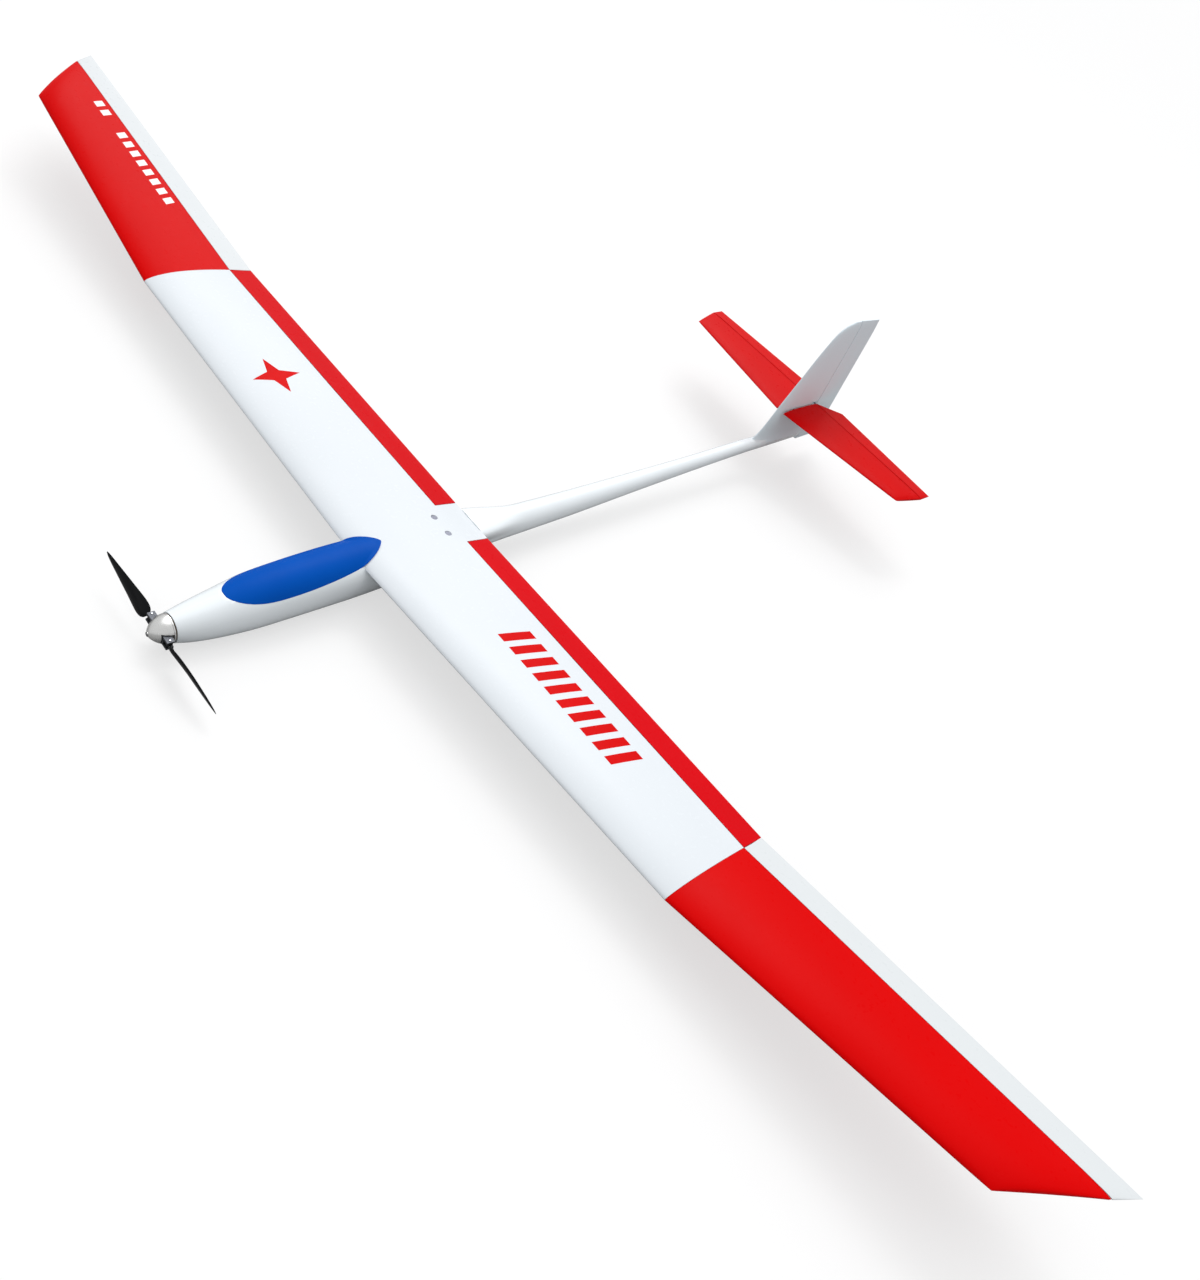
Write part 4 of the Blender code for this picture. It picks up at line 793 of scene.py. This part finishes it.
def rod_end(kind, side, word, arm):
    """Threaded clevises at both ends of a wing pushrod, beside arm and horn."""
    start = Vector((0.0017, -SERVO_BACK - 0.0008, SERVO_FLOOR[kind] + SERVO_SIZE[2] / 2 - arm))
    end = Vector((0.00145, 0.0008, -arm))
    way = (end - start).normalized()
    matrix = linkage_frame(kind, side)
    for tag, a, b in (("front", start, start + way * 0.0085), ("rear", end - way * 0.0085, end)):
        shape = ((0.0, 0.70), (0.04, 1.0), (0.62, 1.0), (0.70, 0.80), (0.97, 0.72), (1.0, 0.60))
        if tag == "rear":
            shape = tuple((1 - s, w) for s, w in reversed(shape))
        piece(tube("sleeve", a, b, 0.00095, 20, shape), f"{kind}_rod_sleeve_{tag}_{word}", rod_metal,
              f"{kind}_rod_{word}", matrix=matrix)


COVER_MARGIN, COVER_CORNER = 0.0042, 0.0022   # reach beyond the pocket, and corner radius
COVER_LIFT, COVER_DEPTH = 0.00005, 0.00075    # a cover's inner and outer sides below the wing's skin
COVER_STEPS = (14, 16)


def servo_cover(kind, side, word):
    """A thin moulded cover over a wing servo, with a slot for its arm and four cross-headed screws."""
    low, high = servo_bay(kind)
    x0, y0 = low[0] - COVER_MARGIN, low[1] - COVER_MARGIN
    x1, y1 = high[0] + COVER_MARGIN, high[1] + COVER_MARGIN
    matrix = linkage_frame(kind, side)
    back = matrix.inverted()

    def skin(x, y):
        """Height of the wing's lower side in the linkage frame."""
        world = matrix @ Vector((x, y, 0.0))
        lines = center_lines(world.x) if kind == "flap" else tip_lines(tip_share(world.x), side)
        return (back @ skin_at(lines, world.y, False)).z

    def within(x, y):
        """The point, drawn in where it lies outside the rounded corners."""
        dx = max(0.0, COVER_CORNER - min(x - x0, x1 - x))
        dy = max(0.0, COVER_CORNER - min(y - y0, y1 - y))
        reach = sqrt(dx * dx + dy * dy)
        if dx > 0 and dy > 0 and reach > COVER_CORNER:
            x += (COVER_CORNER / reach - 1) * dx * (-1 if x < (x0 + x1) / 2 else 1)
            y += (COVER_CORNER / reach - 1) * dy * (-1 if y < (y0 + y1) / 2 else 1)
        return x, y

    nx, ny = COVER_STEPS
    bm = bmesh.new()
    sheets = []
    for drop in (COVER_LIFT, COVER_DEPTH):
        rows = []
        for i in range(nx + 1):
            points = [within(mix(x0, x1, i / nx), mix(y0, y1, j / ny)) for j in range(ny + 1)]
            rows.append([bm.verts.new((x, y, skin(x, y) - drop)) for x, y in points])
        for a, b in zip(rows, rows[1:]):
            for j in range(ny):
                bm.faces.new((a[j], b[j], b[j + 1], a[j + 1]))
        sheets.append(rows)
    rim = [(i, 0) for i in range(nx)] + [(nx, j) for j in range(ny)]
    rim += [(i, ny) for i in range(nx, 0, -1)] + [(0, j) for j in range(ny, 0, -1)]
    inner, outer = sheets
    for (a, b), (c, d) in zip(rim, rim[1:] + rim[:1]):
        bm.faces.new((inner[a][b], inner[c][d], outer[c][d], outer[a][b]))
    slot = slab("slot", (-0.0020, y0 + 0.0080, -0.03), (0.0038, y1 + 0.01, 0.03))
    piece(carved(mesh_from(bm, "plate", 30.0), [slot], 30.0), f"{kind}_servo_cover_{word}", cover_plastic,
          "airframe", matrix=matrix)
    domed = ((0.0, 1.0), (0.6, 1.0), (1.0, 0.72))
    spots = [(x, y) for y in (y0 + 0.0022, y1 - 0.0022) for x in (x0 + 0.002, x1 - 0.002)]
    for k, (x, y) in enumerate(spots):
        top = skin(x, y) - COVER_DEPTH
        head = tube("screw", (x, y, top), (x, y, top - 0.0007), 0.0011, 20, domed)
        cross = [slab("groove", (x - a, y - b, top - 0.0010), (x + a, y + b, top - 0.00035))
                 for a, b in ((0.0009, 0.00014), (0.00014, 0.0009))]
        piece(carved(head, cross), f"{kind}_cover_screw_{word}_{k + 1}", steel, "airframe",
              matrix=matrix)


for side, word in SIDES:
    steps = [max(s, ROOT_INSET) for s in TIP_STEPS]
    joiner_xs = (JOINT_X - 0.01, JOINT_X, JOINT_X + JOINER_LENGTH + GAP)
    socket = bar("socket", [side * x for x in joiner_xs], GAP)
    pocket = moved(slab("pocket", *servo_bay("aileron")), linkage_frame("aileron", side))
    panel = loft("panel", [nose_ring(*tip_lines(s, side), AILERON_BEVEL[0], tip_scale(s)) for s in steps])
    piece(carved(panel, [socket, pocket]), f"wing_tip_covering_{word}", red_film, "airframe",
          (f"wing_tip_{word}",))
    aileron_steps = [max(s, 3 * ROOT_INSET) for s in TIP_STEPS]
    rings = [tail_ring(*tip_lines(s, side), AILERON_BEVEL[1], tip_scale(s)) for s in aileron_steps]
    piece(loft("aileron", rings), f"aileron_covering_{word}", aileron_film, f"aileron_{word}",
          (f"aileron_{word}",))
    flap_xs = (FLAP_ROOT_X + 2 * GAP, 0.12, 0.20, 0.28, 0.36, 0.44, JOINT_X - GAP)
    flap = loft("flap", [tail_ring(*center_lines(side * x), FLAP_BEVEL[1]) for x in flap_xs])
    piece(flap, f"flap_covering_{word}", flap_film, f"flap_{word}", (f"flap_{word}",))
    for kind, arm in (("flap", FLAP_ARM), ("aileron", AILERON_ARM)):
        horn = horn_mesh("horn", 0.0026, 0.0038, (0.0088, -0.0040), (0.0004, -arm), 0.0044)
        piece(horn, f"{kind}_horn_{word}", black_plastic, f"{kind}_{word}",
              matrix=linkage_frame(kind, side))
        rod_end(kind, side, word, arm)
        servo_cover(kind, side, word)


# ---------------- tail
def plane_ring(front, back, normal, outline):
    """A closed section between two points; outline is pairs of chord share and half thickness."""
    first = [front.lerp(back, u) + normal * h for u, h in outline]
    second = [front.lerp(back, u) - normal * h for u, h in outline]
    if outline[0][1] == 0.0:
        second = second[1:]
    return list(reversed(first)) + second


def fixed_outline(scale, thickness):
    """A rounded front that reaches full thickness at two fifths and narrows a little to the hinge."""
    rows = ((0.0, 0.0), (0.02, 0.30), (0.08, 0.60), (0.2, 0.88), (0.4, 1.0), (0.7, 1.0), (1.0, 0.82))
    points = []
    for i in range(25):
        u = (i / 24) ** 2
        if u < 0.02:
            share = 0.30 * sqrt(u / 0.02)
        else:
            share = curve_through(rows, u)[0]
        points.append((u, share * thickness / 2 * scale))
    return points


def moving_ring(front, back, normal, thickness, scale):
    """Section of a rudder or elevator: bevelled at the hinge, then tapered to a thin edge."""
    half = thickness * MOVING_HALF * scale
    nose = NOSE_SLOPE * half / (back - front).length
    points = [(0.0, 0.0), (nose, half)]
    for u in (0.25, 0.5, 0.75, 1.0):
        if u > nose:
            points.append((u, mix(half, MOVING_EDGE, (u - nose) / (1 - nose))))
    return plane_ring(front, back, normal, points)


def cross_bore(reach, y, radius, segments):
    """Cutter for a wire that crosses the tail at the height of the stabilizer."""
    return tube("hole", (-reach, y, STAB_Z), (reach, y, STAB_Z), radius + GAP, segments)


STAB_JOINER = (0.0603, 0.8000, 0.0015, 20)   # reach, y, radius and segments
ELEVATOR_JOINER = (0.0243, ELEVATOR_HINGE_Y + 0.0032, 0.0010, 16)


FIN_LINE = ((-0.006, 0.728, 1.0), (0.004, 0.738, 1.0), (0.014, 0.7455, 1.0), (0.030, 0.7525, 1.0),
            (0.0553, 0.7614, 0.97), (0.1044, 0.7807, 0.90), (0.1384, 0.7931, 0.84),
            (0.1720, 0.8085, 0.76), (0.1860, 0.8190, 0.66), (0.1945, 0.8330, 0.45), (0.1985, 0.8480, 0.18))
FIN_FLARE, FIN_FLARE_HEIGHT = 0.9, 0.006   # widening of the fin where it meets the boom
fin_zs = [-0.006 + 0.186 * i / 40 for i in range(40)] + eased(0.180, 0.1985, 14)
fin_rings = []
for z in fin_zs:
    y, scale = curve_through(FIN_LINE, z)
    scale *= 1 + FIN_FLARE * exp(-(z - fin_zs[0]) / FIN_FLARE_HEIGHT)
    fin_rings.append(plane_ring(Vector((0, y, z)), Vector((0, RUDDER_HINGE_Y - HINGE_PLAY, z)), OUT,
                                fixed_outline(scale, FIN_THICKNESS)))
clearance = loft("clearance", [hull_ring(y, GAP / 6) for y in tail_ys], None)
notch = slab("notch", (-0.02, 0.8480, STAB_Z - 0.0040), (0.02, 0.880, STAB_Z + 0.0040))
fin_cuts = [clearance, fin_channel(), notch, cross_bore(*STAB_JOINER)]
fin_mesh = carved(loft("fin_covering", fin_rings), fin_cuts)
piece(fin_mesh, "fin_covering", fin_film_painted_light, "airframe", ("fin",))


def rudder_edges(z):
    rise = RUDDER_TOP_RISE * max(0.0, (z - RUDDER_RISE_FROM) / (RUDDER_TOP_Z - RUDDER_RISE_FROM)) ** 2
    if z > RUDDER_KINK[1]:
        back = mix(RUDDER_KINK[0], RUDDER_TOP_TE, (z - RUDDER_KINK[1]) / (RUDDER_TOP_Z - RUDDER_KINK[1]))
    else:
        back = mix(RUDDER_LOW_TE, RUDDER_KINK[0], max(z, 0.0) / RUDDER_KINK[1])
    return Vector((0.0, RUDDER_HINGE_Y, z + rise)), Vector((0.0, back, z))


RUDDER_ZS = ((RUDDER_BOTTOM_Z, 0.55), (-0.0225, 0.85), (-0.010, 1.0), (0.03, 1.0), (0.10, 0.90),
             (0.150, 0.82), (0.180, 0.72), (0.1890, 0.55), (RUDDER_TOP_Z, 0.25))
rudder_zs = [RUDDER_BOTTOM_Z + 0.012 * (1 - cos(pi / 2 * i / 10)) for i in range(10)]
rudder_zs += [-0.0135 + 0.192 * i / 30 for i in range(30)] + eased(0.1785, RUDDER_TOP_Z, 10)
rudder_rings = []
for z in rudder_zs:
    scale = curve_through(RUDDER_ZS, z)[0]
    rudder_rings.append(moving_ring(*rudder_edges(z), OUT, FIN_THICKNESS, scale))
piece(loft("rudder_covering", rudder_rings), "rudder_covering", fin_film_painted_light, "rudder", ("rudder",))
horn_outline = [(-0.0025, 0.8660), (-0.0025, 0.8760), (-0.0175, 0.8655), (-0.0185, 0.8630), (-0.0150, 0.8620)]
rudder_horn = prism("rudder_horn", horn_outline, -0.0082, -0.0070, "Z")
softened(piece(rudder_horn, "rudder_horn", black_plastic, "rudder"), 0.0003)

STAB_ROWS = ((0.0, 1.0), (0.35, 1.0), (0.7, 0.98), (0.90, 0.9), (0.97, 0.75), (1.0, 0.35))
stab_steps = [0.0, 0.12, 0.24, 0.36, 0.48, 0.6, 0.7, 0.8] + eased(0.88, 1.0, 12)


def tail_point(root, tip, s, side):
    """A point between (x, y) at the root and at the tip of one tail half."""
    return Vector((side * mix(root[0], tip[0], s), mix(root[1], tip[1], s), STAB_Z))


stab_back_y = ELEVATOR_HINGE_Y - HINGE_PLAY
stab_backs = (STAB_ROOT_LE[0], stab_back_y), (STAB_TIP_HINGE_X, stab_back_y)
elevator_fronts = (STAB_ROOT_LE[0], ELEVATOR_HINGE_Y), (STAB_TIP_HINGE_X + GAP, ELEVATOR_HINGE_Y)
for side, word in SIDES:
    stab_rings, elevator_rings = [], []
    for s in stab_steps:
        scale = curve_through(STAB_ROWS, s)[0]
        front, back = tail_point(STAB_ROOT_LE, STAB_TIP_LE, s, side), tail_point(*stab_backs, s, side)
        stab_rings.append(plane_ring(front, back, UP, fixed_outline(scale, STAB_THICKNESS)))
        front = tail_point(*elevator_fronts, s, side)
        back = tail_point(ELEVATOR_KINK, ELEVATOR_TIP_TE, s, side)
        elevator_rings.append(moving_ring(front, back, UP, STAB_THICKNESS, scale))
    for part, rings, joiner, body in (("stabilizer", stab_rings, STAB_JOINER, "airframe"),
                                      ("elevator", elevator_rings, ELEVATOR_JOINER, "elevator")):
        mesh = carved(loft(part, rings), [cross_bore(*joiner)])
        piece(mesh, f"{part}_covering_{word}", stab_film, body, (f"{part}_{word}",))


# ---------------- spinner and propeller
BASE = 0.0014 + GAP
hub = Matrix.Translation((0.0, BLADE_Y, SHAFT_Z)) @ Matrix.Rotation(PROP_TILT, 4, "Y")


def spinner_radius(t):
    return SPINNER_R * (1 - t**1.8) ** 0.68


SPINNER_WALL, SPINNER_EYE_R = 0.0011, 0.0026
cone_profile = [(SPINNER_EYE_R, SPINNER_LENGTH)]
for t in reversed(eased(0.0, 1.0, 41)[:-1]):
    cone_profile.append((max(spinner_radius(t), SPINNER_EYE_R), mix(BASE, SPINNER_LENGTH, t)))
for t in eased(0.0, 1.0, 31)[:-2]:
    h = mix(BASE, SPINNER_LENGTH, t)
    cone_profile.append((max(spinner_radius(t) - SPINNER_WALL, SPINNER_EYE_R),
                         h - 0.0012 * (h - BASE) / SPINNER_LENGTH))
cone_profile.append((SPINNER_EYE_R, SPINNER_LENGTH - 0.0030))
cone = revolve("cone", cone_profile, Vector((0.0, SPINNER_BASE_Y, SHAFT_Z)), 112)
cone_slot = moved(slab("slots", (-0.03, -0.0052, -0.0068), (0.03, 0.020, 0.0068)), hub)
cone = carved(cone, [cone_slot], 30.0)
cone = piece(cone, "spinner_shell", spinner_metal, "propeller_hub", ("spinner_cone",))
softened(cone, 0.00018)


BLADE_CUTS = 15


def blade_section(r, chord, side):
    """Section of a blade at radius r in the hub frame, rounded near the eye."""
    pitch = atan2(PROP_PITCH, 2 * pi * r)
    thick = chord * mix(0.24, 0.13, min(1.0, r / 0.06))
    root = max(0.0, min(1.0, (0.0275 - r) / 0.006))
    lead = Vector((0.0, -sin(pitch), cos(pitch)))
    lift = Vector((0.0, -cos(pitch), -sin(pitch)))
    centre = Vector((r, 0.0, 0.0)) + lift * 0.0002
    upper, lower = [], []
    for i in range(BLADE_CUTS + 1):
        t = (1 - cos(pi * i / BLADE_CUTS)) / 2
        f = sqrt(t) * (1 - t) / 0.3849
        round_ = 2 * sqrt(max(0.0, t * (1 - t)))
        c = 0.61 - t
        high = mix(f * thick, round_ * 0.0024, root)
        low = mix(-0.18 * f * thick, -round_ * 0.0024, root)
        upper.append(centre + lead * chord * c + lift * high)
        lower.append(centre + lead * chord * c + lift * low)
    points = upper + list(reversed(lower[1:-1]))
    if side < 0:
        points = [Matrix.Rotation(pi, 3, "Y") @ p for p in points]
    return points


BLADE_STEPS = ((BLADE_FROM, 0.0050), (0.0222, 0.0050), (0.0238, 0.0062), (0.0252, 0.0112), (0.0274, 0.0148),
               (0.0310, 0.0178), (0.0370, 0.0196), (0.0450, 0.0194), (0.0580, 0.0176), (0.0740, 0.0146),
               (0.0880, 0.0114), (0.1020, 0.0078), (0.1105, 0.0046), (PROP_R, 0.0016))
blade_rs = stretch(BLADE_FROM, 0.0300, 0.0004)[:-1] + stretch(0.0300, 0.1100, 0.0020)[:-1]
blade_rs += eased(0.110, PROP_R, 10)
for side, word in SIDES:
    pin = Vector((side * PIN_X, 0.0, 0.0))
    rings = [blade_section(r, curve_through(BLADE_STEPS, r)[0], side) for r in blade_rs]
    blade = loft("blade", rings, 50.0)
    eye_ends = ((0.0, 0.93), (0.06, 1.0), (0.94, 1.0), (1.0, 0.93))
    blade = carved(blade, [tube("eye", pin - UP * EYE, pin + UP * EYE, EYE_R, 40, eye_ends)], 40.0, "UNION")
    blade = carved(blade, [tube("hole", pin - UP * 0.008, pin + UP * 0.008, PIN_R + GAP, 20)], 40.0)
    piece(blade, f"blade_moulding_{word}", blade_black, f"blade_{word}", (f"blade_{word}",),
          matrix=hub)


# ---------------- trim on the wing
def top_of_center(x, y):
    return skin_at(center_lines(x), y, True).z


def top_of_tip(x, y):
    """Height of an outer panel's upper side above a point of the plan."""
    side = 1 if x > 0 else -1
    s = tip_share(x)
    for _ in range(8):
        found = skin_at(tip_lines(s, side), y, True)
        s += tip_share(x) - tip_share(found.x)
    return skin_at(tip_lines(s, side), y, True).z


def sticker(name, outline, height, material, lift=0.00007, cuts=3):
    """A flat shape in the plan laid onto the wing: closed, and as thin as vinyl."""
    bm = bmesh.new()
    bm.faces.new([bm.verts.new((x, y, 0.0)) for x, y in outline])
    bmesh.ops.triangulate(bm, faces=bm.faces)
    for _ in range(cuts):
        long_edges = [e for e in bm.edges if e.calc_length() > 0.004]
        bmesh.ops.subdivide_edges(bm, edges=long_edges, cuts=1)
        bmesh.ops.triangulate(bm, faces=[f for f in bm.faces if len(f.verts) > 3])
    made = bmesh.ops.extrude_face_region(bm, geom=list(bm.faces))
    tops = {v for v in made["geom"] if isinstance(v, bmesh.types.BMVert)}
    for v in bm.verts:
        v.co.z = height(v.co.x, v.co.y) + (lift if v in tops else 0.00001)
    return piece(mesh_from(bm, name, 30.0), name, material, "airframe")


def slanted(x, width, front, back, slant):
    return [(x, front), (x + width, front), (x + width + slant, back), (x + slant, back)]


STAR_X, STAR_Y, STAR_R = -0.298, 0.081, 0.034
STAR_POINTS, STAR_WAIST = 4, 0.36
star = []
for i in range(2 * STAR_POINTS):
    radius = STAR_R if i % 2 == 0 else STAR_R * STAR_WAIST
    a = -pi / 2 + pi * i / STAR_POINTS
    star.append((STAR_X + radius * cos(a), STAR_Y + radius * sin(a)))
sticker("wing_star", star, top_of_center, decal_red, cuts=4)

BARS_FROM, BARS_TO, BARS_FRONT, BARS_BACK, BARS_SLANT = 0.173, 0.384, 0.077, 0.119, 0.010
BAR_COUNT, BAR_SHARE = 10, 0.58
bar_pitch = (BARS_TO - BARS_FROM - BARS_SLANT) / (BAR_COUNT - 1 + BAR_SHARE)
for i in range(BAR_COUNT):
    outline = slanted(BARS_FROM + bar_pitch * i, bar_pitch * BAR_SHARE, BARS_FRONT, BARS_BACK, BARS_SLANT)
    sticker(f"wing_bar_{i + 1}", outline, top_of_center, decal_red)

DASH_FRONT, DASH_BACK, DASH_SLANT = 0.122, 0.137, 0.0045
DASH_WIDTH, DASH_PITCH, DASH_SHIFT = 0.0115, 0.0200, 0.00036
dash_xs = [0.656 + DASH_PITCH * i for i in range(8)] + [0.846 + DASH_PITCH * i for i in range(2)]
for i, x in enumerate(dash_xs):
    shift = DASH_SHIFT * i
    outline = slanted(-x, -DASH_WIDTH, DASH_FRONT + shift, DASH_BACK + shift, -DASH_SLANT)
    sticker(f"tip_dash_{i + 1}", outline, top_of_tip, decal_white)


# ---------------- finishes of the CAD pieces that stay
def each_wing_servo(item):
    return tuple(f"{kind}_{item}_{word}" for kind in ("flap", "aileron") for _, word in SIDES)


KEPT = {
    plywood: ("motor_bulkhead", "battery_tray", "servo_tray", "wing_screw_block"),
    motor_metal: ("motor_stator", "motor_bell"),
    battery_wrap: ("battery_pack",),
    strap_weave: ("battery_strap",),
    black_plastic: ("speed_controller", "receiver", "elevator_servo", "rudder_servo",
                    *each_wing_servo("servo")),
    white_plastic: ("elevator_servo_arm", "rudder_servo_arm", *each_wing_servo("arm")),
    carbon: ("wing_spar", "wing_joiner_left", "wing_joiner_right", "stabilizer_joiner"),
    spinner_metal: ("spinner_backplate",),
    yoke_metal: ("prop_yoke",),
    screw_steel: ("wing_screw_left", "wing_screw_right"),
    steel: ("spinner_screw", "blade_pin_left", "blade_pin_right", "elevator_joiner", "elevator_pushrod",
            "rudder_pushrod", *each_wing_servo("rod")),
}
for material, names in KEPT.items():
    for name in names:
        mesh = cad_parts[name].data
        mesh.materials.clear()
        mesh.materials.append(material)

# ---------------- floor, light and camera
bm = bmesh.new()
bmesh.ops.create_grid(bm, x_segments=8, y_segments=8, size=30.0)
floor_mesh = bpy.data.meshes.new("floor")
bm.to_mesh(floor_mesh)
bm.free()
floor = linked("floor", floor_mesh)
FLOOR_ALBEDO, FLOOR_GLOW = 0.32, 0.625
floor_finish = Finish("floor_paper", (FLOOR_ALBEDO,) * 3, 0.9, Specular_IOR_Level=0.0,
                      Emission_Color=(1.0, 1.0, 1.0, 1.0), Emission_Strength=FLOOR_GLOW)
floor_mesh.materials.append(floor_finish.mat)
# The paper's own glow keeps it white but lights nothing else.
lit_by_floor = bpy.data.collections.new("lit_by_floor")
lit_by_floor.objects.link(floor)
floor.light_linking.receiver_collection = lit_by_floor

world = bpy.data.worlds.new("studio")
bpy.context.scene.world = world
world.use_nodes = True
background = world.node_tree.nodes["Background"].inputs
background["Color"].default_value = (0.985, 0.99, 1.0, 1.0)
background["Strength"].default_value = 0.71


def aimed(name, kind, direction, distance, energy):
    """A light that stands off in a direction from the middle of the model and faces it."""
    light = bpy.data.lights.new(name, kind)
    light.energy = energy
    obj = linked(name, light)
    target = Vector((0.0, -0.15, 0.05))
    obj.location = target + Vector(direction).normalized() * distance
    obj.rotation_euler = (target - obj.location).to_track_quat("-Z", "Y").to_euler()
    return light


overhead = aimed("overhead", "SUN", (-0.26, 0.26, 1.0), 3.0, 0.72)
overhead.angle = radians(62.0)
low_light = aimed("low_light", "SUN", (-0.7, 0.7, 1.0), 3.0, 1.00)
low_light.angle = radians(40.0)
strip = aimed("strip_box", "AREA", (-0.36, 0.43, 0.83), 3.2, 14.0)
strip.shape = "RECTANGLE"
strip.size, strip.size_y = 1.6, 0.5

camera_data = bpy.data.cameras.new("camera")
camera_data.sensor_width = 36.0
camera_data.sensor_fit = "AUTO"
camera_data.lens = 34.589
camera_data.clip_start = 0.01
camera_data.clip_end = 100.0
camera = linked("camera", camera_data)
CAMERA_AT = DATUM + Vector((0.7476, -0.7487, 0.9519))
CAMERA_AXES = ((0.6262, 0.6964, 0.3505), (-0.6898, 0.2854, 0.6653), (0.3633, -0.6585, 0.6591))
turn = Matrix(CAMERA_AXES).transposed().to_4x4()
camera.matrix_world = Matrix.Translation(CAMERA_AT) @ turn
bpy.context.scene.camera = camera
bpy.context.scene.view_settings.view_transform = "Standard"

# ---------------- update the view layer
bpy.context.view_layer.update()
